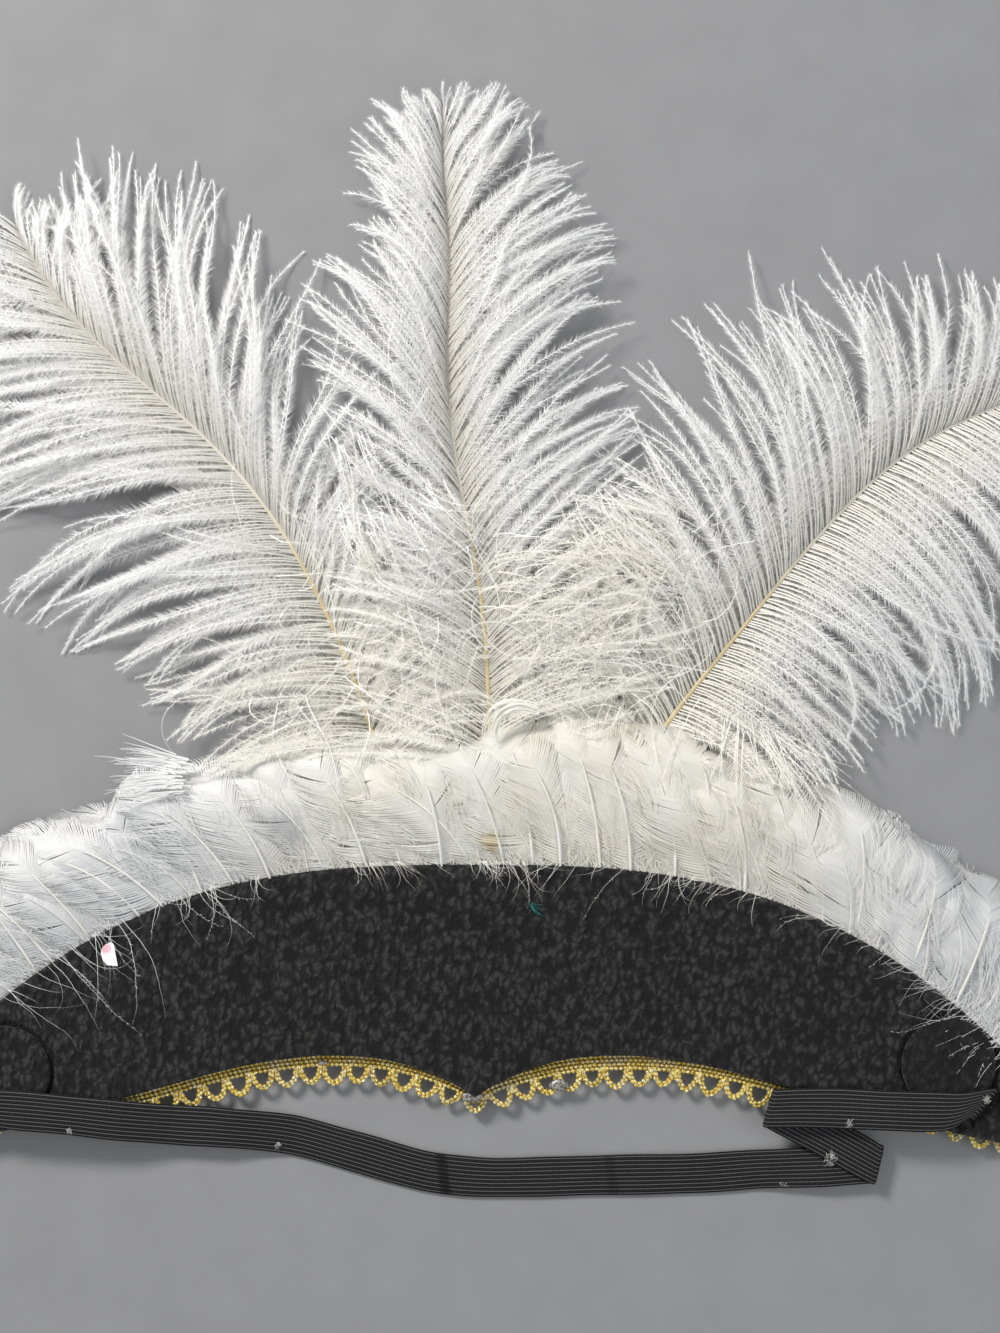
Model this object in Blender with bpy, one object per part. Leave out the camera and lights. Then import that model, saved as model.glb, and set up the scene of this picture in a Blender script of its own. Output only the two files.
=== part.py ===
"""Carnival feather headdress, lying face down: fleece crescent, gold picot braid, elastic strap, feathers.

Units are metres. +X runs to the right as the back is seen, which is the wearer's right, +Y to the plume tips,
and +Z out of the back.
Places are shares: across in half panel widths from its middle, up in panel heights from the tip of its peak.
"""

import math

import bmesh
import bpy
import numpy as np
from mathutils import Vector

# Fleece panel
PANEL_WIDTH = 0.335
PANEL_HEIGHT = 0.0632
PANEL_THICKNESS = 0.003
PANEL_COLUMNS = 26  # from the middle to where an end starts to round off
END_COLUMNS = 6
ROUND_START = 0.88  # across
PANEL_END = 0.975  # across
CROWN = 1.004  # up, top edge at the middle
CROWN_FALL = 1.233  # up, how far the top edge falls to the tips
CROWN_POWER = 2.85
LOWER_EDGE = (  # across, up
    (0.000, 0.000),
    (0.024, 0.047),
    (0.089, 0.124),
    (0.153, 0.169),
    (0.226, 0.184),
    (0.290, 0.175),
    (0.379, 0.137),
    (0.508, 0.047),
    (0.766, -0.141),
    (0.900, -0.215),
    (1.000, -0.235),
)

# Round end patches
PATCH_RADIUS = 0.0127
PATCH_THICKNESS = 0.0012
PATCH_SIDES = 28
PATCHES = {  # across, up
    "end_patch_left": (-0.763, 0.115),
    "end_patch_right": (0.766, 0.150),
}

# Elastic strap
STRAP_WIDTH = 0.0108
STRAP_THICKNESS = 0.0010
SLIT_LEFT = (-0.829, -0.034)  # across, up
SLIT_RIGHT = (0.823, -0.021)
SLIT_ANGLE = 49.0  # degrees from +X, mirrored at the left
TAIL_LENGTH = 0.007
DIVE_RADIUS = 0.0009
FOLD_STEPS = 4
STRAP_LOWER = (  # across, up, what it lies on, degrees of the line across it
    (-0.779, -0.036, "patch", 105),
    (-0.680, -0.058, "patch", 86),
    (-0.576, -0.090, "panel", 84),
    (-0.492, -0.113, "braid", 85),
    (-0.408, -0.128, "braid", 84),
    (-0.298, -0.165, "floor", 78),
    (-0.200, -0.234, "floor", 72),
    (-0.087, -0.318, "floor", 78),
    (-0.024, -0.342, "floor", 84),
    (0.040, -0.350, "floor", 90),
    (0.202, -0.340, "floor", 91),
    (0.363, -0.331, "floor", 92),
    (0.460, -0.314, "floor", 93),
    (0.573, -0.299, "below", 87),
    (0.651, -0.286, "below", 77),
)
STRAP_BACK = (
    (0.651, -0.286, "braid", 77),
    (0.613, -0.230, "braid", 66),
    (0.573, -0.172, "braid", 60),
    (0.524, -0.104, "braid", 64),
    (0.479, -0.039, "under", 74),
)
STRAP_UPPER = (
    (0.479, -0.039, "panel", 74),
    (0.524, -0.036, "panel", 84),
    (0.588, -0.038, "panel", 88),
    (0.668, -0.045, "patch", 88),
    (0.734, -0.050, "patch", 84),
    (0.779, -0.046, "patch", 68),
)

# Picot braid
BRAID_THICKNESS = 0.0010
BRAID_HEADER = 0.0026
BRAID_END = 0.92  # across
LOOP_PITCH = 0.0066
LOOP_HEIGHT = 0.0050
LOOP_THREAD = 0.0010
LOOP_OUTLINE = (  # share of the pitch from the loop's middle, share of its height
    (-0.50, 0.00),
    (-0.42, 0.58),
    (0.00, 1.00),
    (0.42, 0.58),
    (0.50, 0.00),
)

# Feather fringe
TAPE_THICKNESS = 0.0010
TAPE_INSIDE = 0.0060
TAPE_OUTSIDE = 0.0032
FRINGE_DEPTH = 0.038
FRINGE_RISE = 0.0092
FRINGE_END = 0.93  # across
LOCKS = 26
LOCK_COLUMNS = 4
LOCK_NOTCH = 0.26
LOCK_LEAN = 0.10
LOCK_STEP = 0.22  # share of the rise that parts each lock from its neighbours
LOCK_VARIATION = 0.06
LOCK_PHASE = 2.4
FRINGE_ROWS = (  # share of the depth, share of the rise
    (0.30, 0.62),
    (0.62, 1.00),
    (0.86, 0.72),
    (1.00, 0.22),
)

# Ostrich plumes
PLUME_LENGTH = 0.220
QUILL_RADIUS = 0.0011
QUILL_TIP_RADIUS = 0.0005
BARB_LENGTH = 0.060
VANE_THICKNESS = 0.0012
VANE_DOME = 0.008
PLUME_ROWS = 41
TIP_NOTCH = 0.16
TIP_VARIATION = 0.05
TIP_PHASE = 1.7
PLUMES = {
    "plume_left": {
        "base": (-0.110, 0.876),
        "headings": ((0, 8), (0.25, 19), (0.45, 30), (0.60, 43), (0.74, 50), (0.86, 41), (1, 22)),
        "vane": (  # share along, left reach, left angle, right reach, right angle
            (0.22, 0.05, 70, 0.05, 60),
            (0.27, 0.80, 84, 0.25, 55),
            (0.39, 0.98, 86, 0.50, 52),
            (0.525, 1.18, 75, 0.95, 50),
            (0.65, 1.15, 60, 1.06, 53),
            (0.77, 0.98, 52, 0.93, 56),
            (0.86, 0.78, 48, 0.66, 52),
            (0.93, 0.56, 44, 0.42, 42),
            (1.00, 0.28, 38, 0.16, 15),
        ),
    },
    "plume_center": {
        "base": (0.027, 0.833),
        "headings": ((0, 0), (0.30, 3), (0.45, 11), (0.62, 6), (0.75, -3), (0.87, 5), (1, -2)),
        "vane": (
            (0.20, 0.05, 60, 0.05, 60),
            (0.26, 0.27, 58, 0.40, 60),
            (0.38, 0.38, 48, 0.68, 60),
            (0.50, 0.50, 42, 0.90, 60),
            (0.63, 0.66, 42, 0.98, 56),
            (0.75, 0.73, 58, 0.82, 48),
            (0.85, 0.58, 50, 0.60, 48),
            (0.94, 0.35, 45, 0.31, 45),
            (1.00, 0.12, 22, 0.10, 22),
        ),
    },
    "plume_right": {
        "base": (0.185, 0.897),
        "headings": ((0, -14), (0.25, -37), (0.45, -39), (0.56, -43), (0.65, -50), (0.74, -62), (0.82, -71),
                     (1, -98)),
        "vane": (
            (0.22, 0.05, 66, 0.05, 90),
            (0.27, 0.50, 64, 0.42, 92),
            (0.36, 1.08, 61, 0.56, 92),
            (0.515, 1.20, 62, 0.94, 98),
            (0.61, 1.08, 62, 1.02, 99),
            (0.69, 0.90, 64, 1.08, 87),
            (0.80, 0.62, 62, 0.86, 72),
            (0.90, 0.45, 55, 0.66, 58),
            (1.00, 0.18, 30, 0.26, 32),
        ),
    },
}
VANE_SHARES = (1.0, 0.86, 0.60, 0.28)

SMOOTH_ANGLE = 40.0
GAP = 0.0003  # between pieces that touch
QUILL_TOP = 2 * QUILL_RADIUS
SEAM_BOTTOM = QUILL_TOP + GAP
SEAM_TOP = SEAM_BOTTOM + max(TAPE_THICKNESS, BRAID_THICKNESS)
PANEL_BOTTOM = SEAM_TOP + GAP
PANEL_TOP = PANEL_BOTTOM + PANEL_THICKNESS
PATCH_BOTTOM = PANEL_TOP + GAP
PATCH_TOP = PATCH_BOTTOM + PATCH_THICKNESS
STRAP_PITCH = STRAP_THICKNESS + GAP  # from one folded layer to the next
STRAP_LEVELS = {  # height of the strap's middle where it lies on each thing
    "floor": STRAP_THICKNESS / 2,
    "braid": SEAM_TOP + GAP + STRAP_THICKNESS / 2,
    "panel": PATCH_BOTTOM + STRAP_THICKNESS / 2,
    "patch": PATCH_TOP + GAP + STRAP_THICKNESS / 2,
}
STRAP_LEVELS["below"] = STRAP_LEVELS["braid"] - STRAP_PITCH
STRAP_LEVELS["under"] = STRAP_LEVELS["panel"] - STRAP_PITCH
TAIL_LEVEL = SEAM_BOTTOM - GAP - STRAP_THICKNESS / 2


def clear_scene():
    for item in list(bpy.data.objects):
        bpy.data.objects.remove(item)


def material(name, colour, roughness, metallic=0.0):
    made = bpy.data.materials.new(name)
    made.use_nodes = True
    shader = made.node_tree.nodes["Principled BSDF"]
    shader.inputs["Base Color"].default_value = (*colour, 1.0)
    shader.inputs["Roughness"].default_value = roughness
    shader.inputs["Metallic"].default_value = metallic
    return made


def add_solid(name, vertices, faces, surface, parent):
    """A mesh object of its own, with the faces turned out."""
    mesh = bpy.data.meshes.new(name)
    mesh.from_pydata([tuple(v) for v in vertices], [], faces)
    work = bmesh.new()
    work.from_mesh(mesh)
    bmesh.ops.recalc_face_normals(work, faces=work.faces)
    work.to_mesh(mesh)
    work.free()
    mesh.shade_smooth()
    mesh.set_sharp_from_angle(angle=math.radians(SMOOTH_ANGLE))
    if surface:
        mesh.materials.append(surface)
    solid = bpy.data.objects.new(name, mesh)
    bpy.context.scene.collection.objects.link(solid)
    solid.parent = parent
    return solid


def curve_through(table, share, column):
    """Smooth value of one column of a table at a share, by a cubic through its rows."""
    shares = [row[0] for row in table]
    values = [row[column] for row in table]
    share = min(max(share, shares[0]), shares[-1])
    last = len(shares) - 2
    i = min(max(int(np.searchsorted(shares, share, side="right")) - 1, 0), last)
    width = shares[i + 1] - shares[i]

    def slope(k):
        low = max(k - 1, 0)
        high = min(k + 1, len(shares) - 1)
        return (values[high] - values[low]) / (shares[high] - shares[low])

    t = (share - shares[i]) / width
    start = values[i] * (1 + 2 * t) * (1 - t) ** 2 + slope(i) * width * t * (1 - t) ** 2
    end = values[i + 1] * (3 - 2 * t) * t ** 2 - slope(i + 1) * width * (1 - t) * t ** 2
    return start + end


def place(across, up, height=0.0):
    return Vector((across * PANEL_WIDTH / 2, up * PANEL_HEIGHT, height))


def turned(degrees):
    return Vector((math.cos(math.radians(degrees)), math.sin(math.radians(degrees)), 0.0))


def edge_heights(across):
    """How far up the panel's lower and top edges are; they close in on each other over its round ends."""
    low = curve_through(LOWER_EDGE, abs(across), 1)
    top = CROWN - CROWN_FALL * abs(across) ** CROWN_POWER
    past = max(abs(across) - ROUND_START, 0.0) / (PANEL_END - ROUND_START)
    middle, half = (low + top) / 2, (top - low) / 2 * math.sqrt(max(1 - past ** 2, 0.0))
    return middle - half, middle + half


def top_edge(across):
    return place(across, edge_heights(across)[1])


def lower_edge(across):
    return place(across, edge_heights(across)[0])


def edge_path(edge, end, count):
    """Points along an edge from -end to end at even steps of its length, each with its tangent."""
    fine = np.array([edge(a)[:2] for a in np.linspace(-end, end, 1201)])
    runs = np.concatenate([[0.0], np.cumsum(np.hypot(*np.diff(fine, axis=0).T))])
    steps = np.linspace(0.0, runs[-1], count)
    points = np.stack([np.interp(steps, runs, fine[:, k]) for k in (0, 1)], axis=1)
    tangents = np.gradient(points, axis=0)
    tangents /= np.linalg.norm(tangents, axis=1)[:, None]
    return points, tangents, runs[-1]


def sheet_solid(name, upper, lower, surface, parent):
    """A closed sheet from two grids of points, rows by columns by xyz, joined round their border."""
    rows, columns = upper.shape[:2]
    size = rows * columns

    def corner(layer, r, c):
        return layer * size + r * columns + c

    faces = []
    for r in range(rows - 1):
        for c in range(columns - 1):
            square = [(r, c), (r, c + 1), (r + 1, c + 1), (r + 1, c)]
            faces.append([corner(0, *at) for at in square])
            faces.append([corner(1, *at) for at in reversed(square)])
    border = [(0, c) for c in range(columns)]
    border += [(r, columns - 1) for r in range(1, rows)]
    border += [(rows - 1, c) for c in range(columns - 2, -1, -1)]
    border += [(r, 0) for r in range(rows - 2, 0, -1)]
    for start, end in zip(border, border[1:] + border[:1]):
        faces.append([corner(0, *end), corner(0, *start), corner(1, *start), corner(1, *end)])
    points = np.concatenate([upper.reshape(-1, 3), lower.reshape(-1, 3)])
    return add_solid(name, points, faces, surface, parent)


def make_panel(surface, parent):
    """The fleece crescent, with a slit near each end that the strap goes through."""
    turns = np.linspace(0, math.pi / 2, END_COLUMNS + 1)[1:-1]
    half = list(np.linspace(0, ROUND_START, PANEL_COLUMNS + 1)[1:])
    half += [ROUND_START + (PANEL_END - ROUND_START) * math.sin(turn) for turn in turns]
    columns = []
    for across in [-a for a in reversed(half)] + [0.0] + half:
        low, top = lower_edge(across), top_edge(across)
        columns.append([low, low.lerp(top, 0.5), top])
    grid = np.array(columns)
    upper = grid + np.array([0, 0, PANEL_TOP])
    lower = grid + np.array([0, 0, PANEL_BOTTOM])
    panel = sheet_solid("fleece_panel", upper, lower, surface, parent)
    slit_size = (STRAP_WIDTH + 2 * GAP, STRAP_THICKNESS + 2 * GAP, 3 * PANEL_THICKNESS)
    for side, slit, angle in (("left", SLIT_LEFT, 180 - SLIT_ANGLE), ("right", SLIT_RIGHT, SLIT_ANGLE)):
        cutter = box(f"slit_cutter_{side}", slit_size, parent)
        cutter.location = place(*slit, (PANEL_BOTTOM + PANEL_TOP) / 2)
        cutter.rotation_euler[2] = math.radians(angle)
        cutter.hide_render = True
        cutter.display_type = "WIRE"
        cut = panel.modifiers.new(cutter.name, "BOOLEAN")
        cut.object = cutter
        cut.operation = "DIFFERENCE"


def box(name, size, parent):
    corners = [(x, y, z) for z in (-0.5, 0.5) for y in (-0.5, 0.5) for x in (-0.5, 0.5)]
    vertices = [[sign * length for sign, length in zip(corner, size)] for corner in corners]
    faces = [(0, 2, 3, 1), (4, 5, 7, 6), (0, 1, 5, 4), (2, 6, 7, 3), (0, 4, 6, 2), (1, 3, 7, 5)]
    return add_solid(name, vertices, faces, None, parent)


def make_patches(surface, parent):
    """The round fleece patches, each a thin disc fanned from the middle of both its faces."""
    for name, spot in PATCHES.items():
        vertices = []
        for height in (PATCH_BOTTOM, PATCH_TOP):
            middle = place(*spot, height)
            vertices.append(middle)
            vertices += [middle + turned(360 * k / PATCH_SIDES) * PATCH_RADIUS for k in range(PATCH_SIDES)]
        top = PATCH_SIDES + 1
        faces = []
        for k in range(PATCH_SIDES):
            start, end = 1 + k, 1 + (k + 1) % PATCH_SIDES
            faces.append((0, end, start))
            faces.append((top, top + start, top + end))
            faces.append((start, end, top + end, top + start))
        add_solid(name, vertices, faces, surface, parent)


def strap_run(table, up):
    """Stations on one flat run of the strap: its middle, the line across it, and the way its outer face points."""
    return [(place(a, u, STRAP_LEVELS[level]), turned(angle), Vector((0, 0, up))) for a, u, level, angle in table]


def strap_fold(station, forward, outward):
    """Half a turn upwards about the line across the strap, to the layer above."""
    middle, across, _ = station
    radius = STRAP_PITCH / 2
    made = []
    for k in range(1, FOLD_STEPS):
        angle = math.pi * k / FOLD_STEPS
        shift = forward * radius * math.sin(angle) + Vector((0, 0, radius * (1 - math.cos(angle))))
        normal = outward * (forward * math.sin(angle) - Vector((0, 0, math.cos(angle))))
        made.append((middle + shift, across, normal))
    return made


def strap_dive(slit, angle, way):
    """The strap's end: down through its slit, then flat under the panel. way points from the strap to its end."""
    across = turned(angle)
    down = Vector((0, 0, -1))
    middle = place(*slit)
    start = middle - way * DIVE_RADIUS + Vector((0, 0, STRAP_LEVELS["patch"]))
    made = []
    for k in range(FOLD_STEPS + 1):
        turn = math.pi / 2 * k / FOLD_STEPS
        shift = way * DIVE_RADIUS * math.sin(turn) + down * DIVE_RADIUS * (1 - math.cos(turn))
        made.append((start + shift, across, way * math.sin(turn) - down * math.cos(turn)))
    foot = middle + Vector((0, 0, TAIL_LEVEL + DIVE_RADIUS))
    for k in range(FOLD_STEPS + 1):
        turn = math.pi / 2 * k / FOLD_STEPS
        shift = way * DIVE_RADIUS * (1 - math.cos(turn)) + down * DIVE_RADIUS * math.sin(turn)
        made.append((foot + shift, across, way * math.cos(turn) - down * math.sin(turn)))
    made.append((made[-1][0] + way * TAIL_LENGTH, across, -down))
    return made


def make_strap(surface, parent):
    """One flat ribbon: up through the left slit, along, folded back and forward again, down the right slit."""
    left_across, right_across = turned(180 - SLIT_ANGLE), turned(SLIT_ANGLE)
    left_way = Vector((-left_across.y, left_across.x, 0))
    right_way = Vector((right_across.y, -right_across.x, 0))
    lower, back, upper = strap_run(STRAP_LOWER, 1), strap_run(STRAP_BACK, -1), strap_run(STRAP_UPPER, 1)
    first_fold = Vector((lower[-1][1].y, -lower[-1][1].x, 0))
    second_fold = Vector((-back[-1][1].y, back[-1][1].x, 0))
    stations = list(reversed(strap_dive(SLIT_LEFT, 180 - SLIT_ANGLE, left_way)))
    stations += lower + strap_fold(lower[-1], first_fold, -1)
    stations += back + strap_fold(back[-1], second_fold, 1)
    stations += upper + strap_dive(SLIT_RIGHT, SLIT_ANGLE, right_way)
    half_width, half_thickness = STRAP_WIDTH / 2, STRAP_THICKNESS / 2
    upper_side = [[m + a * half_width * s + n * half_thickness for s in (-1, 1)] for m, a, n in stations]
    lower_side = [[m + a * half_width * s - n * half_thickness for s in (-1, 1)] for m, a, n in stations]
    sheet_solid("elastic_strap", np.array(upper_side), np.array(lower_side), surface, parent)


def make_braid(surface, parent):
    """The picot braid: a header under the panel's lower edge and a row of open loops below the edge."""
    length = edge_path(lower_edge, BRAID_END, 2)[2]
    loops = round(length / LOOP_PITCH)
    points, tangents, _ = edge_path(lower_edge, BRAID_END, 2 * loops + 1)
    outward = np.stack([tangents[:, 1], -tangents[:, 0]], axis=1)
    plan, quads = [], []

    def add(point):
        plan.append(point)
        return len(plan) - 1

    for k in range(0, 2 * loops + 1, 2):
        add(points[k])
        add(points[k] - outward[k] * BRAID_HEADER)
    for loop in range(loops):
        left, right = 2 * loop, 2 * loop + 2
        chord = points[right] - points[left]
        root = (points[left] + points[right]) / 2
        out = np.array([chord[1], -chord[0]]) / np.linalg.norm(chord)
        inset = LOOP_THREAD / np.linalg.norm(chord)
        outer = [left]
        inner = []
        for k, (along, height) in enumerate(LOOP_OUTLINE):
            spot = root + chord * along + out * height * LOOP_HEIGHT
            if 0 < k < len(LOOP_OUTLINE) - 1:
                outer.append(add(spot))
            narrow = along * (1 - 2 * inset)
            inner.append(add(root + chord * narrow + out * height * (LOOP_HEIGHT - LOOP_THREAD)))
        outer.append(right)
        quads += [(outer[k], outer[k + 1], inner[k + 1], inner[k]) for k in range(len(inner) - 1)]
        head = add(root + chord * (inset - 0.5) - out * BRAID_HEADER)
        tail = add(root + chord * (0.5 - inset) - out * BRAID_HEADER)
        quads += [(left, inner[0], head, left + 1), (inner[0], inner[-1], tail, head)]
        quads += [(inner[-1], right, right + 1, tail)]
    extruded(plan, quads, SEAM_TOP - BRAID_THICKNESS, SEAM_TOP, "picot_braid", surface, parent)


def extruded(plan, quads, bottom, top, name, surface, parent):
    """A flat mesh given thickness, with a wall on each open edge, holes included."""
    count = len(plan)
    vertices = [(x, y, bottom) for x, y in plan] + [(x, y, top) for x, y in plan]
    faces, edges = [], {}
    for quad in quads:
        faces.append(tuple(quad))
        faces.append(tuple(count + k for k in reversed(quad)))
        for start, end in zip(quad, quad[1:] + quad[:1]):
            edges[(start, end)] = True
    for start, end in edges:
        if (end, start) not in edges:
            faces.append((end, start, count + start, count + end))
    add_solid(name, vertices, faces, surface, parent)


def make_fringe(surface, parent):
    """A tape under the panel's top edge with a row of feather locks that arch up and curl down at their tips."""
    columns = LOCKS * LOCK_COLUMNS + 1
    points, tangents, _ = edge_path(top_edge, FRINGE_END, columns)
    upper, lower = [], []
    for k in range(columns):
        lock = min(k // LOCK_COLUMNS, LOCKS - 1)
        share = (k - lock * LOCK_COLUMNS) / LOCK_COLUMNS
        bulge = math.sin(math.pi * share)
        wave = math.sin(LOCK_PHASE * lock)
        depth = FRINGE_DEPTH * (1 - LOCK_NOTCH * (1 - bulge) + LOCK_VARIATION * wave * bulge)
        rise = FRINGE_RISE * (1 + LOCK_STEP * bulge * (-1) ** lock)
        out = np.array([-tangents[k][1], tangents[k][0]])
        lean = tangents[k] * LOCK_LEAN * wave * bulge
        column = [(-TAPE_INSIDE, 0.0), (TAPE_OUTSIDE, 0.0)]
        column += [(TAPE_OUTSIDE + (depth - TAPE_OUTSIDE) * reach, rise * lift) for reach, lift in FRINGE_ROWS]
        for side, base in ((upper, SEAM_TOP), (lower, SEAM_TOP - TAPE_THICKNESS)):
            row = []
            for reach, lift in column:
                spot = points[k] + out * reach + lean * max(reach, 0.0)
                row.append((spot[0], spot[1], base + lift))
            side.append(row)
    sheet_solid("feather_fringe", np.array(upper), np.array(lower), surface, parent)


def quill_path(base, headings):
    """Points along a quill from its base, and the heading at each in radians to the left of +Y."""
    fine = 20 * PLUME_ROWS
    shares = np.linspace(0, 1, fine)
    angles = np.radians([curve_through(headings, s, 1) for s in shares])
    steps = np.stack([-np.sin(angles), np.cos(angles)], axis=1) * PLUME_LENGTH / (fine - 1)
    points = np.array(place(*base)[:2]) + np.concatenate([[[0.0, 0.0]], np.cumsum(steps[:-1], axis=0)])
    return shares, points, angles


def make_plume(name, base, headings, vane, surface, parent):
    """A quill that lies on the floor, with a vane each side whose tips part into locks."""
    shares, points, angles = quill_path(base, headings)
    bare = [0.0, vane[0][0] / 2, vane[0][0] - 0.01]
    upper, lower = [], []
    for row, share in enumerate(bare + list(np.linspace(vane[0][0], 1.0, PLUME_ROWS))):
        x, y = (np.interp(share, shares, points[:, k]) for k in (0, 1))
        heading = np.interp(share, shares, angles)
        radius = QUILL_RADIUS + (QUILL_TIP_RADIUS - QUILL_RADIUS) * share
        lock = 1 - TIP_NOTCH * (1 + math.cos(math.pi * row)) / 2 + TIP_VARIATION * math.sin(TIP_PHASE * row)
        top_row, bottom_row = [], []
        for side, reach_column in ((1, 1), (-1, 3)):
            reach = curve_through(vane, share, reach_column) * BARB_LENGTH * lock if share >= vane[0][0] else 0.0
            reach = max(reach, 2 * radius)
            angle = heading + side * math.radians(curve_through(vane, share, reach_column + 1))
            way = np.array([-math.sin(angle), math.cos(angle)])
            across = side * np.array([-math.cos(heading), -math.sin(heading)])
            arm = []
            for t in VANE_SHARES:
                spot = np.array([x, y]) + across * radius + way * (reach - radius) * t
                lift = VANE_DOME * math.sin(math.pi * t) * min(reach / BARB_LENGTH, 1.0)
                arm.append((*spot, lift))
            arm.append((x + across[0] * radius, y + across[1] * radius, 0.0))
            arm = arm if side > 0 else arm[::-1]
            top_row += [(px, py, radius + lift + min(VANE_THICKNESS / 2, radius)) for px, py, lift in arm]
            bottom_row += [(px, py, radius + lift - min(VANE_THICKNESS / 2, radius)) for px, py, lift in arm]
            if side > 0:
                top_row.append((x, y, 2 * radius))
                bottom_row.append((x, y, 0.0))
        upper.append(top_row)
        lower.append(bottom_row)
    sheet_solid(name, np.array(upper), np.array(lower), surface, parent)


def centre_on_floor(root):
    """Moves the root so that the middle of the whole stands over the origin."""
    bpy.context.view_layer.update()
    corners = [
        solid.matrix_world @ Vector(corner)
        for solid in root.children
        if not solid.hide_render
        for corner in solid.bound_box
    ]
    low = [min(c[k] for c in corners) for k in range(3)]
    high = [max(c[k] for c in corners) for k in range(3)]
    root.location = (-(low[0] + high[0]) / 2, -(low[1] + high[1]) / 2, -low[2])


def build():
    clear_scene()
    root = bpy.data.objects.new("headdress", None)
    bpy.context.scene.collection.objects.link(root)
    fleece = material("black_fleece", (0.018, 0.017, 0.017), 0.95)
    patch_fleece = material("patch_fleece", (0.022, 0.021, 0.021), 0.95)
    elastic = material("black_elastic", (0.012, 0.012, 0.013), 0.65)
    gold = material("gold_thread", (0.62, 0.46, 0.18), 0.35, 1.0)
    goose = material("white_goose_feather", (0.84, 0.82, 0.76), 0.55)
    ostrich = material("white_ostrich_feather", (0.86, 0.84, 0.79), 0.70)
    make_panel(fleece, root)
    make_patches(patch_fleece, root)
    make_strap(elastic, root)
    make_braid(gold, root)
    make_fringe(goose, root)
    for name, plume in PLUMES.items():
        make_plume(name, plume["base"], plume["headings"], plume["vane"], ostrich, root)
    centre_on_floor(root)


build()
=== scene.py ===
import bpy
import numpy as np
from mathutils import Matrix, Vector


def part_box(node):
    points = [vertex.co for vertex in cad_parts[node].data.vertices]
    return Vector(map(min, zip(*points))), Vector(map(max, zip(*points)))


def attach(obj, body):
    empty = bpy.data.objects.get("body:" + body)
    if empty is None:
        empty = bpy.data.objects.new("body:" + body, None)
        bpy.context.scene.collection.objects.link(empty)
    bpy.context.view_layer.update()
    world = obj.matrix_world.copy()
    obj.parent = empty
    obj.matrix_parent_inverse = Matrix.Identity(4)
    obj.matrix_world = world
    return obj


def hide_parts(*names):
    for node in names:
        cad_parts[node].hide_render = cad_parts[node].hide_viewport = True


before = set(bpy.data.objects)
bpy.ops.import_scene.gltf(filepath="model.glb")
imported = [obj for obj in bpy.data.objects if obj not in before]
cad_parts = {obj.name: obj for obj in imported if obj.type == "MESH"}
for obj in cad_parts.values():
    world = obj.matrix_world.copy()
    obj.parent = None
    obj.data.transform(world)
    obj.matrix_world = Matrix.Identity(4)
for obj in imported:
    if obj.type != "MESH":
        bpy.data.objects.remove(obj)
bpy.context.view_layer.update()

# Camera, ground and light
# The headdress lies face down on a plain pale ground, and is seen from straight above.
# Photo pixels are read in the 1000 x 1333 image; one pixel is 0.27 mm where the headdress lies.
panel_low, panel_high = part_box("fleece_panel")
PIXEL = 0.00027
PHOTO_SIZE = (1000, 1333)
CROWN_PIXEL = (475, 865)
CAMERA_HEIGHT = 0.95
FILM = 36.0


def photo_place(across, down):
    """World x and y of a photo pixel, measured from the middle of the panel's top edge."""
    middle = (panel_low.x + panel_high.x) / 2
    return middle + (across - CROWN_PIXEL[0]) * PIXEL, panel_high.y + (CROWN_PIXEL[1] - down) * PIXEL


camera_data = bpy.data.cameras.new("camera")
camera_data.sensor_fit = "VERTICAL"
camera_data.sensor_height = camera_data.sensor_width = FILM
camera_data.lens = FILM * (CAMERA_HEIGHT - panel_high.z) / (PHOTO_SIZE[1] * PIXEL)
camera = bpy.data.objects.new("camera", camera_data)
camera.location = (*photo_place(PHOTO_SIZE[0] / 2, PHOTO_SIZE[1] / 2), CAMERA_HEIGHT)
bpy.context.scene.collection.objects.link(camera)
bpy.context.scene.camera = camera
bpy.context.scene.view_settings.view_transform = "Standard"


def soft_light(name, place, size, power, colour):
    """A square lamp that faces the middle of the headdress."""
    data = bpy.data.lights.new(name, "AREA")
    data.size, data.energy, data.color = size, power, colour
    lamp = bpy.data.objects.new(name, data)
    lamp.location = place
    lamp.rotation_euler = (-lamp.location).to_track_quat("-Z", "Y").to_euler()
    bpy.context.scene.collection.objects.link(lamp)


soft_light("key", (-0.60, 0.62, 0.72), 0.26, 11.5, (1.0, 0.98, 0.95))
soft_light("fill", (0.75, -0.35, 0.80), 0.90, 3.4, (0.94, 0.97, 1.0))
world = bpy.data.worlds.new("studio")
world.use_nodes = True
world.node_tree.nodes["Background"].inputs["Color"].default_value = (0.93, 0.96, 1.0, 1.0)
world.node_tree.nodes["Background"].inputs["Strength"].default_value = 0.40
bpy.context.scene.world = world


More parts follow.
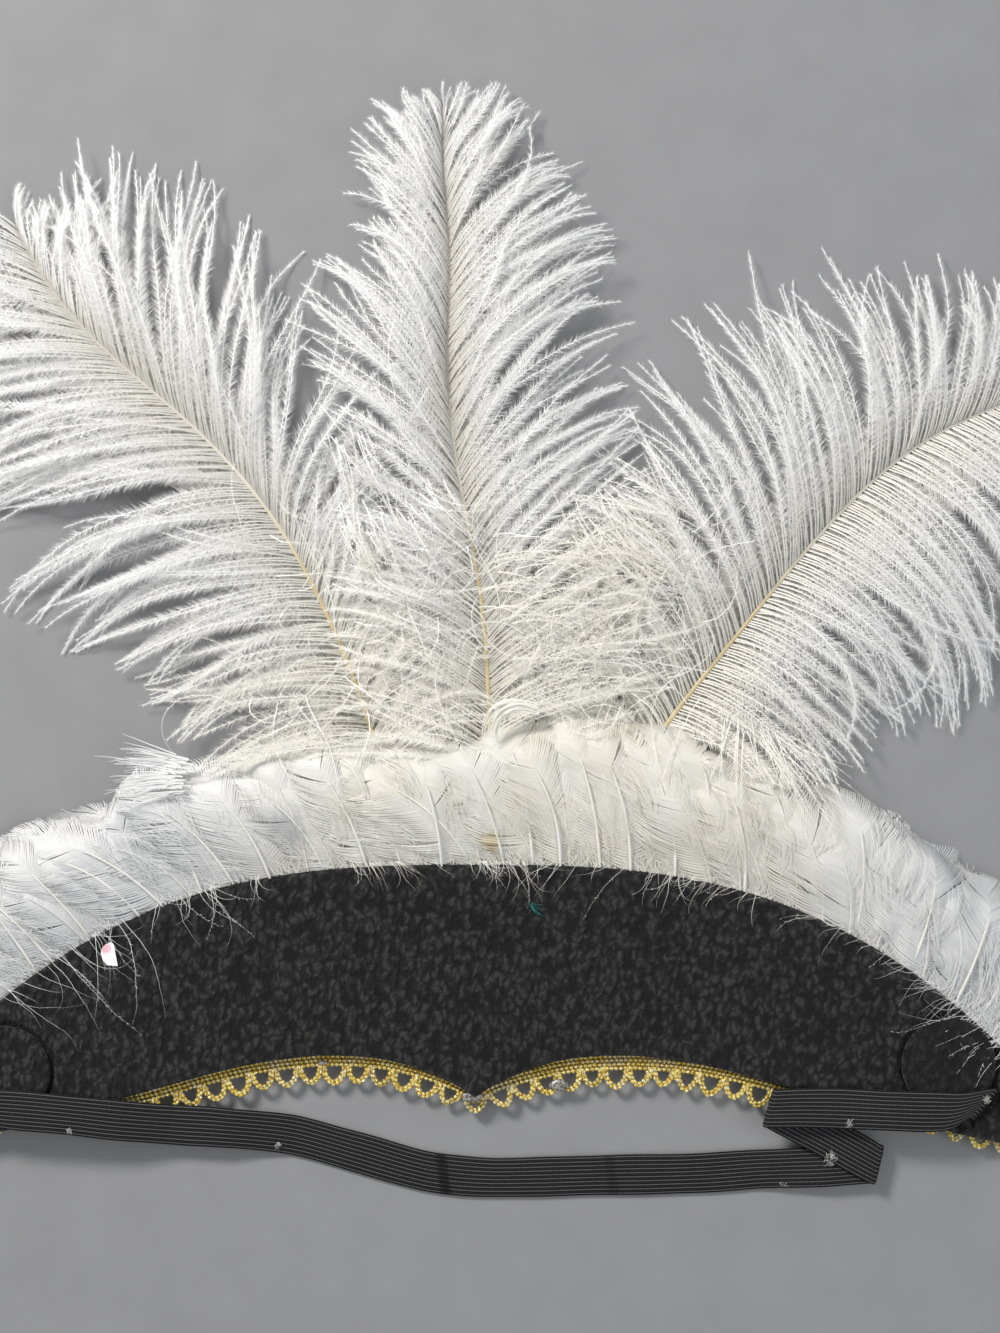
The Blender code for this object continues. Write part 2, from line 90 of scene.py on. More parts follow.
class Wire:
    """One socket of a finish's node tree. Arithmetic on it adds Math nodes."""

    def __init__(self, tree, socket=None):
        self.tree, self.socket = tree, socket

    def node(self, kind, settings=None, sockets=None, out=0):
        """Adds a node: its settings, then values or links of its sockets by identifier. Gives output out."""
        made = self.tree.nodes.new("ShaderNode" + kind)
        for key, value in (settings or {}).items():
            if key == "stops":
                while len(made.color_ramp.elements) < len(value):
                    made.color_ramp.elements.new(1.0)
                for stop, (place, colour) in zip(made.color_ramp.elements, value):
                    stop.position, stop.color = place, (*colour, 1.0)
            else:
                setattr(made, key, value)
        for key, value in (sockets or {}).items():
            socket = next(s for s in made.inputs if s.identifier == key)
            if isinstance(value, Wire):
                self.tree.links.new(value.socket, socket)
            else:
                socket.default_value = value
        found = [s for s in made.outputs if s.identifier == out] or [made.outputs[out if out != "" else 0]]
        return Wire(self.tree, found[0])

    def math(self, operation, first, second=0.0):
        return self.node("Math", {"operation": operation}, {"Value": first, "Value_001": second})

    def __add__(self, other):
        return self.math("ADD", self, other)

    def __radd__(self, other):
        return self.math("ADD", other, self)

    def __sub__(self, other):
        return self.math("SUBTRACT", self, other)

    def __rsub__(self, other):
        return self.math("SUBTRACT", other, self)

    def __mul__(self, other):
        return self.math("MULTIPLY", self, other)

    def __rmul__(self, other):
        return self.math("MULTIPLY", other, self)

    def noise(self, places, scale, detail=2.0, roughness=0.5):
        return self.node(
            "TexNoise", None, {"Vector": places, "Scale": scale, "Detail": detail, "Roughness": roughness}, "Fac"
        )

    def here(self):
        """Places on the object itself, in metres."""
        return self.node("TexCoord", out="Object")

    def chart(self, name):
        """Places on one of the piece's own maps."""
        return self.node("UVMap", {"uv_map": name})

    def split(self, places):
        """The x and y of places."""
        across = self.node("SeparateXYZ", None, {"Vector": places}, "X")
        return across, Wire(self.tree, across.socket.node.outputs["Y"])

    def apart(self, places, spot):
        """How far places are from a spot."""
        return self.node(
            "VectorMath", {"operation": "DISTANCE"}, {"Vector": places, "Vector_001": spot}, "Value"
        )

    def ramp(self, value, *stops):
        return self.node("ValToRGB", {"stops": stops}, {"Fac": value}, "Color")

    def blend(self, share, first, second):
        first, second = ((*c, 1.0) if isinstance(c, tuple) else c for c in (first, second))
        sockets = {"Factor_Float": share, "A_Color": first, "B_Color": second}
        return self.node("Mix", {"data_type": "RGBA"}, sockets, "Result_Color")

    def steps(self, value, low, high):
        """0 below low, 1 above high, smooth between."""
        sockets = {"Value": value, "From Min": low, "From Max": high}
        return self.node("MapRange", {"interpolation_type": "SMOOTHSTEP"}, sockets, "Result")


def new_finish(name, roughness=0.6, **fixed):
    """A material with one Principled shader: gives it, a Wire for its nodes and a function that links sockets."""
    finish = bpy.data.materials.new(name)
    finish.use_nodes = True
    tree = finish.node_tree
    shader = tree.nodes["Principled BSDF"]
    shader.inputs["Roughness"].default_value = roughness
    for key, value in fixed.items():
        shader.inputs[key.replace("_", " ")].default_value = value

    def link(**wires):
        for key, wire in wires.items():
            tree.links.new(wire.socket, shader.inputs[key.replace("_", " ")])

    return finish, Wire(tree), link


ground, paint, link = new_finish("ground_paper", 0.85)
grain = paint.noise(paint.here(), 60.0, 3.0)
link(Base_Color=paint.ramp(grain, (0.3, (0.275, 0.275, 0.28)), (0.7, (0.295, 0.295, 0.30))))
floor_mesh = bpy.data.meshes.new("floor")
floor_mesh.from_pydata(
    [(-3, -3, -0.0003), (3, -3, -0.0003), (3, 3, -0.0003), (-3, 3, -0.0003)], [], [(0, 1, 2, 3)]
)
floor_mesh.materials.append(ground)
floor = bpy.data.objects.new("floor", floor_mesh)
bpy.context.scene.collection.objects.link(floor)

# Ostrich plumes
# Three white plumes, each a tapering quill with several hundred barbs on both sides. Each barb is a flat
# shaft
# with fine barbules all along it, and barbs cling together in fronds towards their tips.
# The quills lie under the fringe's tape, on the front of the panel.
half_span = (panel_high.x - panel_low.x) / 2 / 0.975
panel_height = 0.3773 * half_span
peak = np.array([(panel_low.x + panel_high.x) / 2, panel_high.y - 1.004 * panel_height])
MAP = "OFBake"


def panel_place(across, up):
    """World x and y from shares: across in half panel widths, up in panel heights from its peak's tip."""
    across, up = np.broadcast_arrays(across, up)
    return np.stack([peak[0] + across * half_span, peak[1] + up * panel_height], axis=-1)


def raised(level, height):
    """Level places with a height each, or one height for all."""
    return np.concatenate([level, np.broadcast_to(height, (*level.shape[:-1], 1))], axis=-1)


def smooth(table, share, column=1):
    """A cubic through one column of a table. Its slope at a row is that of the chord between the neighbours."""
    rows = np.array(table, float)
    x, y = rows[:, 0], rows[:, column]
    low, high = np.maximum(np.arange(len(x)) - 1, 0), np.minimum(np.arange(len(x)) + 1, len(x) - 1)
    slope = (y[high] - y[low]) / (x[high] - x[low])
    share = np.clip(share, x[0], x[-1])
    i = np.clip(np.searchsorted(x, share, side="right") - 1, 0, len(x) - 2)
    width = x[i + 1] - x[i]
    t = (share - x[i]) / width
    start = y[i] * (1 + 2 * t) * (1 - t) ** 2 + slope[i] * width * t * (1 - t) ** 2
    end = y[i + 1] * (3 - 2 * t) * t ** 2 - slope[i + 1] * width * (1 - t) * t ** 2
    return start + end


def new_piece(name, places, faces, finish, uv=None, shade_smooth=True):
    """A mesh from one array of places and a list of arrays of faces, with a map place for each vertex."""
    mesh = bpy.data.meshes.new(name)
    corners = np.concatenate([f.ravel() for f in faces]).astype(np.int32)
    sides = np.concatenate([np.full(len(f), f.shape[1]) for f in faces])
    mesh.vertices.add(len(places))
    mesh.vertices.foreach_set("co", np.asarray(places, np.float32).ravel())
    mesh.loops.add(len(corners))
    mesh.loops.foreach_set("vertex_index", corners)
    mesh.polygons.add(len(sides))
    mesh.polygons.foreach_set("loop_start", (np.cumsum(sides) - sides).astype(np.int32))
    mesh.polygons.foreach_set("use_smooth", np.full(len(sides), shade_smooth))
    if uv is not None:
        mesh.uv_layers.new(name=MAP).uv.foreach_set("vector", np.asarray(uv, np.float32)[corners].ravel())
    mesh.update(calc_edges=True)
    mesh.validate()
    mesh.materials.append(finish)
    piece = bpy.data.objects.new(name, mesh)
    bpy.context.scene.collection.objects.link(piece)
    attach(piece, "root")
    return piece


def add_map(piece, name, spots):
    """A further map on a piece, with a place for each vertex."""
    corners = np.zeros(len(piece.data.loops), np.int32)
    piece.data.loops.foreach_get("vertex_index", corners)
    layer = piece.data.uv_layers.new(name=name)
    layer.uv.foreach_set("vector", np.asarray(spots, np.float32)[corners].ravel())


def unit(vectors):
    return vectors / np.maximum(np.linalg.norm(vectors, axis=-1, keepdims=True), 1e-12)


def leftward(tangents):
    """The level direction to the left of each tangent."""
    return unit(np.stack([-tangents[..., 1], tangents[..., 0], np.zeros(tangents.shape[:-1])], axis=-1))


def ribbon_quads(count, steps, first):
    """The quads of ribbons whose two edges alternate in the list of places."""
    corner = first + 2 * (np.arange(count)[:, None] * steps + np.arange(steps - 1)[None, :]).ravel()
    return np.stack([corner, corner + 2, corner + 3, corner + 1], axis=1)


def ribbons(paths, width, first=0):
    """Flat ribbons, face up, along paths (ribbon, step, xyz); width is per step. Gives places and quads."""
    across = leftward(np.gradient(paths, axis=1)) * width[..., None] / 2
    places = np.stack([paths - across, paths + across], axis=2)
    return places.reshape(-1, 3), ribbon_quads(*paths.shape[:2], first)


def tubes(paths, radius, sides, first=0):
    """Round tubes along paths (tube, step, xyz); radius is per step, and small at both ends to close them."""
    tangents = unit(np.gradient(paths, axis=1))
    left = leftward(tangents)
    up = np.cross(tangents, left)
    angle = np.linspace(0, 2 * np.pi, sides, endpoint=False)
    ring = left[:, :, None] * np.cos(angle)[:, None] + up[:, :, None] * np.sin(angle)[:, None]
    places = paths[:, :, None] + ring * radius[..., None, None]
    count, steps = paths.shape[:2]
    start = first + sides * (np.arange(count)[:, None, None] * steps + np.arange(steps - 1)[None, :, None])
    here, after = np.arange(sides)[None, None, :], (np.arange(sides)[None, None, :] + 1) % sides
    quads = np.stack(
        np.broadcast_arrays(start + here, start + after, start + sides + after, start + sides + here), -1
    )
    return places.reshape(-1, 3), quads.reshape(-1, 4)


ROUND_START, PANEL_END = 0.88, 0.975
CROWN, CROWN_FALL, CROWN_POWER = 1.004, 1.233, 2.85
LOWER_EDGE = (  # across, up
    (0.000, 0.000), (0.024, 0.047), (0.089, 0.124), (0.153, 0.169), (0.226, 0.184), (0.290, 0.175),
    (0.379, 0.137), (0.508, 0.047), (0.766, -0.141), (0.900, -0.215), (1.000, -0.235),
)
SEAM_TOP = panel_low.z - 0.0003
FRINGE_END = 0.93
FRINGE_DEPTH = 0.038
FRINGE_RISE = 0.0086
FRINGE_ARCH = (  # share of the depth outward, share of the rise
    (0.0, 0.0), (0.30, 0.62), (0.62, 1.0), (0.86, 0.78), (1.0, 0.45), (1.3, 0.0),
)


def edge_heights(across):
    """How far up the lower and top edges are. They close in on each other over the panel's round ends."""
    low = smooth(LOWER_EDGE, np.abs(across))
    top = CROWN - CROWN_FALL * np.abs(across) ** CROWN_POWER
    past = np.clip((np.abs(across) - ROUND_START) / (PANEL_END - ROUND_START), 0, 1)
    half = (top - low) / 2 * np.sqrt(1 - past ** 2)
    return (low + top) / 2 - half, (low + top) / 2 + half


def edge_path(row, end, count):
    """Points at even steps along the lower (0) or top (1) edge, their unit tangents and the edge's length."""
    fine = np.linspace(-end, end, 4001)
    line = panel_place(fine, edge_heights(fine)[row])
    runs = np.concatenate([[0.0], np.cumsum(np.linalg.norm(np.diff(line, axis=0), axis=1))])
    steps = np.linspace(0, runs[-1], count)
    points = np.stack([np.interp(steps, runs, line[:, k]) for k in (0, 1)], axis=1)
    return points, unit(np.gradient(points, axis=0)), runs[-1]


top_points, top_tangents, _ = edge_path(1, FRINGE_END, 400)
top_out = np.stack([-top_tangents[:, 1], top_tangents[:, 0]], axis=1)


def from_edge(places):
    """The index of the top edge's nearest point to each place, and how far out of the edge the place is."""
    flat = places.reshape(-1, places.shape[-1])
    parts = np.array_split(flat, 60)
    near = np.concatenate([((p[:, None, :2] - top_points[None]) ** 2).sum(-1).argmin(axis=1) for p in parts])
    return near, ((flat[:, :2] - top_points[near]) * top_out[near]).sum(-1)


PLUME_LENGTH = 0.216
BARB_LENGTH = 0.060
BARB_ROWS = 212
BARB_STEPS = 14
BARB_WIDTH = 0.00030
WEB_STEPS = 5
BARB_DOME = 0.0075
BARBULE_LENGTH = 0.0032
BARBULE_WIDTH = 0.00014
BARBULES_PER_METRE = 8500
QUILL_RADIUS = (0.0010, 0.0003)
PLUMES = {
    "plume_left": {
        "seed": 11,
        "lift": 0.0,
        "longer": {1: 0.98, -1: 0.90},
        "lying": {1: 0.08, -1: 0.35},
        "hook": {1: 0, -1: 62},
        "base": (-0.110, 0.876),
        "headings": ((0, 8), (0.25, 19), (0.45, 30), (0.60, 43), (0.74, 50), (0.86, 41), (1, 22)),
        "vane": (  # share along, left reach, left angle, right reach, right angle
            (0.15, 0.70, 96, 0.75, 64),
            (0.27, 0.86, 86, 0.80, 58),
            (0.39, 1.02, 86, 0.80, 56),
            (0.525, 1.22, 75, 1.06, 50),
            (0.65, 1.20, 60, 1.25, 54),
            (0.77, 1.02, 52, 1.03, 55),
            (0.86, 0.80, 48, 0.60, 52),
            (0.93, 0.58, 44, 0.36, 42),
            (1.00, 0.30, 38, 0.20, 15),
        ),
    },
    "plume_center": {
        "seed": 22,
        "lift": 0.0030,
        "longer": {1: 0.94, -1: 0.93},
        "lying": {1: 0.20, -1: 0.15},
        "hook": {1: 12, -1: -10},
        "base": (0.027, 0.833),
        "headings": ((0, 0), (0.30, 3), (0.45, 11), (0.62, 6), (0.75, -3), (0.87, 5), (1, -2)),
        "vane": (
            (0.15, 0.80, 80, 0.72, 84),
            (0.26, 0.86, 68, 0.96, 72),
            (0.38, 0.76, 54, 0.98, 62),
            (0.50, 0.82, 44, 0.94, 60),
            (0.62, 0.97, 37, 1.01, 56),
            (0.69, 0.62, 37, 0.94, 52),
            (0.76, 0.60, 40, 0.84, 47),
            (0.82, 0.64, 40, 0.74, 44),
            (0.88, 0.56, 38, 0.62, 40),
            (0.94, 0.36, 32, 0.36, 32),
            (1.00, 0.11, 16, 0.11, 16),
        ),
    },
    "plume_right": {
        "seed": 33,
        "lift": 0.0,
        "longer": {1: 0.88, -1: 0.98},
        "lying": {1: 0.18, -1: 0.08},
        "hook": {1: 0, -1: 0},
        "base": (0.185, 0.897),
        "headings": ((0, -14), (0.25, -37), (0.45, -39), (0.56, -43), (0.65, -50), (0.74, -62), (0.82, -71),
                     (1, -98)),
        "vane": (
            (0.13, 0.70, 92, 0.75, 100),
            (0.27, 1.14, 84, 0.86, 96),
            (0.36, 1.24, 76, 0.76, 93),
            (0.515, 1.24, 65, 1.04, 99),
            (0.61, 1.10, 62, 1.10, 100),
            (0.69, 0.92, 64, 1.12, 87),
            (0.80, 0.66, 62, 0.90, 72),
            (0.90, 0.48, 55, 0.70, 58),
            (1.00, 0.20, 30, 0.28, 32),
        ),
    },
}


def quill_line(base, headings, shares):
    """A level line of even speed whose heading, in degrees left of +Y, is a cubic of the share along it."""
    fine = np.linspace(0, 1, 800)
    turn = np.radians(smooth(headings, fine))
    steps = np.stack([-np.sin(turn), np.cos(turn)], axis=1) * PLUME_LENGTH / (len(fine) - 1)
    line = panel_place(*base) + np.concatenate([np.zeros((1, 2)), np.cumsum(steps[:-1], axis=0)])
    return np.stack([np.interp(shares, fine, line[:, k]) for k in (0, 1)], axis=-1), np.interp(
        shares, fine, turn
    )


def barb_lines(plume, side, share, longer, swing, curl, lift, sway):
    """Barb paths: the heading swings out from the quill's, opens along the barb and sways, on a low arch."""
    root, heading = quill_line(plume["base"], plume["headings"], share)
    reach = smooth(plume["vane"], share, 1 if side > 0 else 3) * BARB_LENGTH * longer
    angle = np.radians(smooth(plume["vane"], share, 2 if side > 0 else 4) + swing)
    v = np.linspace(0, 1, BARB_STEPS)[None, :]
    turn = heading[:, None] + side * (
        angle[:, None] * (0.72 + 0.50 * v ** 0.8) + np.radians(curl)[:, None] * v ** 2
    )
    turn = turn + 0.16 * v * np.sin(6.0 * v + sway[:, None])
    steps = np.stack([-np.sin(turn), np.cos(turn)], axis=-1) * (reach / (BARB_STEPS - 1))[:, None, None]
    line = root[:, None, :] + np.concatenate(
        [np.zeros((len(share), 1, 2)), np.cumsum(steps[:, :-1], axis=1)], axis=1
    )
    arch = BARB_DOME * np.sin(np.pi * v ** 0.8) * np.minimum(reach / BARB_LENGTH, 1.1)[:, None]
    height = QUILL_RADIUS[0] + arch + plume["lift"] * v + lift[:, None] * np.sin(np.pi / 2 * v) ** 1.5
    return np.concatenate([line, np.maximum(height, 0.0004)[..., None]], axis=-1), reach


def barbules(rng, paths, reach, per_metre, longest, comb=0.0035):
    """Slivers of one triangle on both sides of each path, short beside the quill and closer at the tip."""
    steps = paths.shape[1]
    count = np.maximum(np.round(reach * per_metre).astype(int), 1)
    barb = np.repeat(np.arange(len(paths)), count)
    t = rng.uniform(0.0, 1.0, len(barb)) ** 0.92
    step = np.minimum((t * (steps - 1)).astype(int), steps - 2)
    back, ahead = paths[barb, step], paths[barb, step + 1]
    tangent = unit(ahead - back)
    hand = rng.choice([-1.0, 1.0], len(barb))
    open_angle = np.radians(rng.normal(50, 9, len(barb)) - 26 * t ** 2)
    tilt = rng.normal(0, 0.42, len(barb))
    out = leftward(tangent) * (hand * np.cos(tilt))[:, None] + np.array([0, 0, 1]) * np.sin(tilt)[:, None]
    way = tangent * np.cos(open_angle)[:, None] + out * np.sin(open_angle)[:, None]
    long = longest * (0.22 + 0.78 * np.clip((t * reach[barb] - comb) / 0.008, 0, 1) ** 1.2)
    long = long * (1 - 0.60 * t ** 4) * rng.uniform(0.55, 1.2, len(barb))
    foot = back + (ahead - back) * (t * (steps - 1) - step)[:, None]
    half = tangent * BARBULE_WIDTH / 2
    points = np.stack([foot - half, foot + half, foot + way * long[:, None]], axis=1)
    points[..., 2] = np.maximum(points[..., 2], 0.0002)
    thread = np.arange(3 * len(barb)).reshape(-1, 3)
    thread = np.where(hand[:, None] > 0, thread, thread[:, [1, 0, 2]])
    return points, thread, barb, t


def make_vane(name, word, plume, side, barb_finish, shade_web_finish):
    """One vane: barbs as ribbons in fronds of one to three, barbules as slivers, and a grey web by the quill that
    paints the shade between the barbs.
    """
    rng = np.random.default_rng(plume["seed"] + (side > 0))
    start = plume["vane"][0][0]
    share = start + (1 - start) * (np.arange(BARB_ROWS) + rng.uniform(-0.4, 0.4, BARB_ROWS)) / BARB_ROWS
    frond = np.repeat(np.arange(BARB_ROWS), rng.integers(1, 4, BARB_ROWS))[:BARB_ROWS]
    fronds = frond.max() + 1
    middle = np.bincount(frond, share) / np.bincount(frond)
    longer, swing = rng.normal(plume["longer"][side], 0.07, fronds), rng.normal(0, 6.0, fronds)
    swing -= (rng.uniform(size=fronds) < plume["lying"][side]) * rng.uniform(10, 30, fronds)
    hook = plume["hook"][side] * (1 - smooth(((0, 0), (0.28, 0), (0.50, 1), (1, 1)), middle))
    stray = (rng.uniform(size=fronds) < 0.05) * rng.normal(0, 30, fronds)
    curl, lift = rng.normal(0, 16.0, fronds) + stray + hook, rng.normal(0, 0.0021, fronds)
    sway = rng.uniform(0, 6.3, fronds)
    whole, _ = barb_lines(plume, side, middle, longer, swing, curl, lift, sway)
    own, reach = barb_lines(
        plume, side, share, longer[frond] * rng.normal(0.97, 0.05, BARB_ROWS),
        swing[frond] * 0.4 + rng.normal(0, 2.0, BARB_ROWS), curl[frond] + rng.normal(0, 9.0, BARB_ROWS),
        lift[frond] + rng.normal(0, 0.0007, BARB_ROWS), sway[frond],
    )
    v = np.linspace(0, 1, BARB_STEPS)
    cling = 0.66 * np.clip((v - 0.15) / 0.5, 0, 1) ** 1.2 * (1 - 0.30 * v ** 3)
    paths = own * (1 - cling[None, :, None]) + whole[frond] * cling[None, :, None]
    _, out = from_edge(paths)
    out = out.reshape(paths.shape[:2]) / FRINGE_DEPTH
    over = SEAM_TOP + FRINGE_RISE * smooth(FRINGE_ARCH, np.maximum(out, 0)) + 0.0016
    lies_over = (rng.uniform(size=BARB_ROWS) < 0.7)[:, None] * np.clip((1.35 - out) / 0.3, 0, 1) * np.clip(
        v * 3, 0, 1
    )
    bare = np.abs(paths[..., 0] - photo_place(600, 0)[0])
    lies_over = lies_over * np.clip((out - 0.70) / 0.10, 0, 1) * np.clip((bare - 0.022) / 0.005, 0, 1)
    paths[..., 2] += np.maximum(over - paths[..., 2], 0) * lies_over
    width = BARB_WIDTH * (
        0.45 + 0.35 * np.clip(1 - v[None, :] * reach[:, None] / 0.010, 0, 1) + 0.55 * (1 - v)[None, :]
    )
    flat, quads = ribbons(paths, width)
    across = 0.5 + 0.49 * side * v
    spots = np.stack(np.broadcast_arrays(share[:, None, None], across[None, :, None] + [-0.003, 0.003]), -1)
    points, thread, barb, t = barbules(rng, paths, reach, BARBULES_PER_METRE, BARBULE_LENGTH)
    spot = np.stack([share[barb], 0.5 + 0.49 * side * t], axis=1)
    corner = np.array([[-0.001, -0.002], [0.001, -0.002], [0.0, 0.002]])
    uv = np.concatenate([spots.reshape(-1, 2), (spot[:, None, :] + corner[None]).reshape(-1, 2)])
    vane = new_piece(
        f"{name}_barbs_{word}", np.concatenate([flat, points.reshape(-1, 3)]), [quads, thread + len(flat)],
        barb_finish, np.clip(uv, 0, 1), shade_smooth=False,
    )
    # The web is a low grey sheet under the first steps of the barbs; its grey is painted shade in the gaps
    # between them.
    under = paths[:, :WEB_STEPS] - [0, 0, 1] * np.minimum(paths[:, :WEB_STEPS, 2:] - 0.0003, 0.0016)
    index = np.arange(under.size // 3).reshape(under.shape[:2])
    cells = np.stack([index[:-1, :-1], index[:-1, 1:], index[1:, 1:], index[1:, :-1]], axis=-1)[..., ::-side]
    web = new_piece(
        f"{name}_painted_shade_web_{word}", under.reshape(-1, 3), [cells.reshape(-1, 4)], shade_web_finish,
        spots[:, :WEB_STEPS, 0].reshape(-1, 2), shade_smooth=False,
    )
    return vane, web


def each_hair(table, column):
    """The table as an array, and each hair's row in it. The column says how many hairs a row has."""
    rows = np.array(table)
    return rows, np.repeat(np.arange(len(rows)), rows[:, column].astype(int))


def hairs(feet, heading, length, curl, wander, steps, rng):
    """Fine hairs, level: each starts at its foot, turns evenly by its curl and wanders a little."""
    count = len(feet)
    turn = heading[:, None] + curl[:, None] * np.linspace(0, 1, steps)[None] ** 1.2
    turn = turn + np.cumsum(rng.normal(0, wander, (count, steps)), axis=1)
    way = np.stack([-np.sin(turn), np.cos(turn)], axis=-1) * (length / (steps - 1))[:, None, None]
    return feet[:, None] + np.concatenate([np.zeros((count, 1, 2)), np.cumsum(way[:, :-1], axis=1)], axis=1)


def over_fringe(level):
    """Gives level places the height of the fringe's arch, so that what lies there rests on the feathers."""
    out = from_edge(level)[1].reshape(level.shape[:-1]) / FRINGE_DEPTH
    return np.concatenate(
        [level, (SEAM_TOP + FRINGE_RISE * smooth(FRINGE_ARCH, np.maximum(out, 0)))[..., None]], axis=-1
    )


def make_plume(name, plume, barb_finish, shade_web_finish, quill_finish):
    """Two vanes and the quill, a tapering tube."""
    shares = np.linspace(0, 1, 90)
    line, _ = quill_line(plume["base"], plume["headings"], shares)
    radius = QUILL_RADIUS[0] + (QUILL_RADIUS[1] - QUILL_RADIUS[0]) * shares ** 0.8
    radius[[0, -1]] *= 0.02
    path = raised(line, QUILL_RADIUS[0])[None]
    rod, quads = tubes(path, radius[None], 8)
    uv = np.stack([np.repeat(shares, 8), np.tile(np.linspace(0, 1, 8), len(shares))], axis=1)
    pieces = [new_piece(name + "_quill", rod, [quads], quill_finish, uv)]
    for side, word in ((1, "left"), (-1, "right")):
        pieces += make_vane(name, word, plume, side, barb_finish, shade_web_finish)
    for piece in pieces:
        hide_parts(name)


ostrich, paint, link = new_finish("white_ostrich_barbs", 0.55, Specular_IOR_Level=0.30)
along, across = paint.split(paint.chart(MAP))
from_quill = paint.math("ABSOLUTE", across - 0.5) * 2.0
patchy = paint.noise(paint.here(), 90.0, 2.0)
tone = paint.blend(paint.steps(from_quill, 0.0, 0.40), (0.90, 0.87, 0.81), (0.96, 0.955, 0.94))
tone = paint.blend(paint.steps(from_quill, 0.6, 1.0), tone, (0.98, 0.98, 0.975))
cream = (1 - paint.steps(along, 0.20, 0.45)) * 0.6
tone = paint.blend(cream, tone, (0.96, 0.92, 0.81))
link(Base_Color=paint.blend(paint.steps(patchy, 0.58, 0.75) * 0.30, tone, (0.92, 0.88, 0.80)))

quill_horn, paint, link = new_finish("ostrich_quill", 0.35)
share, _ = paint.split(paint.chart(MAP))
link(Base_Color=paint.ramp(
    share, (0.12, (0.74, 0.60, 0.36)), (0.40, (0.66, 0.53, 0.30)), (0.55, (0.78, 0.74, 0.63)), (
        0.9, (0.60, 0.56, 0.50)
    )
))
# The web's grey is painted shade for the gaps between the barbs by the quill.
shade_web_paint, paint, link = new_finish("ostrich_painted_shade_web", 0.9, Specular_IOR_Level=0.1)
shade = paint.noise(paint.here(), 500.0, 2.0)
link(Base_Color=paint.ramp(shade, (0.35, (0.30, 0.29, 0.27)), (0.65, (0.52, 0.505, 0.475))))
for plume_name, plume in PLUMES.items():
    make_plume(plume_name, plume, ostrich, shade_web_paint, quill_horn)

def loose_barbs(name, plume, path, longest, per_metre, barbule, rng):
    """Loose barbs along paths, as one piece that stands for the plume: thin ribbons with short barbules."""
    count, steps = path.shape[:2]
    v = np.linspace(0, 1, steps)
    flat, quads = ribbons(path, BARB_WIDTH * 0.85 * (1.1 - v)[None] * np.ones((count, 1)))
    points, thread, barb, t = barbules(rng, path, np.full(count, longest), per_metre, barbule, comb=0.0)
    share = 0.10 + 0.30 * np.arange(count) / count
    spots = np.stack(np.broadcast_arrays(share[:, None, None], v[None, :, None] * 0.99 + [0.0, 0.003]), -1)
    spot = np.stack([share[barb], 0.99 * t], axis=1)[:, None] + np.array([[0, 0], [0.001, 0], [0, 0.003]])
    uv = np.clip(np.concatenate([spots.reshape(-1, 2), spot.reshape(-1, 2)]), 0, 1)
    made = new_piece(
        name, np.concatenate([flat, points.reshape(-1, 3)]), [quads, thread + len(flat)], ostrich, uv,
        shade_smooth=False,
    )
    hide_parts(plume)


# Some bare barbs of the right plume lie over the fringe in a fan.
rng = np.random.default_rng(61)
strays = 30
fan = rng.uniform(0, 1, strays)
foot = np.stack(
    photo_place(725 + 60 * fan + rng.normal(0, 8, strays), 722 + 14 * fan + rng.normal(0, 7, strays)), axis=1
)
level = hairs(
    foot, -3.45 + 1.25 * fan + rng.normal(0, 0.12, strays), rng.uniform(0.014, 0.029, strays),
    rng.normal(0.1, 0.15, strays), 0.01, 14, rng,
)
path = over_fringe(level) + [0, 0, 0.0021] + rng.uniform(0, 0.0010, (strays, 1, 1)) * [0, 0, 1]
loose_barbs("plume_right_crossing_barbs", "plume_right", path, 0.022, 2400, 0.0011, rng)

# Long loose barbs curl over the foot of the three plumes.
loose = 110
foot = np.stack(photo_place(rng.uniform(240, 730, loose), rng.uniform(520, 715, loose)), axis=1)
level = hairs(
    foot, rng.uniform(0, 6.3, loose), rng.uniform(0.012, 0.042, loose), rng.normal(0, 2.2, loose), 0.10, 20, rng
)
v = np.linspace(0, 1, 20)[None]
height = rng.uniform(0.0085, 0.0125, (loose, 1)) - 0.003 * np.abs(2 * v - 1) ** 2
path = over_fringe(level) + [0, 0, 0.0015]
path[..., 2] = np.maximum(path[..., 2], height)
loose_barbs("plume_center_loose_barbs", "plume_center", path, 0.027, 2200, 0.0014, rng)

# Between the plumes, barbs that slipped out of the vanes hang together in streams.
STREAMS = (  # photo pixels across and down, spread, barbs, heading, length in metres, curl
    (528, 588, 26, 46, -1.35, 0.032, -1.5), (560, 560, 20, 26, -1.1, 0.028, -1.6),
    (604, 530, 18, 34, -2.5, 0.030, 0.9),
    (650, 592, 22, 30, 1.9, 0.026, 0.9), (630, 645, 24, 26, 1.6, 0.028, 0.8),
    (612, 500, 16, 22, -2.0, 0.026, -0.6),
    (362, 520, 12, 30, -2.9, 0.026, 0.3), (415, 500, 14, 20, -2.6, 0.020, 0.5),
    (372, 575, 18, 16, -2.2, 0.022, 0.6),
    (345, 440, 14, 18, -2.6, 0.024, -0.3),
)
stream, which = each_hair(STREAMS, 3)
spread = stream[which, 2:3] * rng.normal(0, 1, (len(which), 2))
foot = np.stack(photo_place(stream[which, 0] + spread[:, 0], stream[which, 1] + spread[:, 1]), axis=1)
level = hairs(
    foot, stream[which, 4] + rng.normal(0, 0.20, len(which)),
    stream[which, 5] * rng.uniform(0.7, 1.15, len(which)),
    stream[which, 6] + rng.normal(0, 0.25, len(which)), 0.04, 14, rng,
)
v = np.linspace(0, 1, 14)[None]
height = rng.uniform(0.0060, 0.0115, (len(which), 1)) + 0.0015 * np.sin(np.pi * v)
path = raised(level, height[..., None])
loose_barbs("plume_center_streams", "plume_center", path, 0.026, 3300, 0.0023, rng)

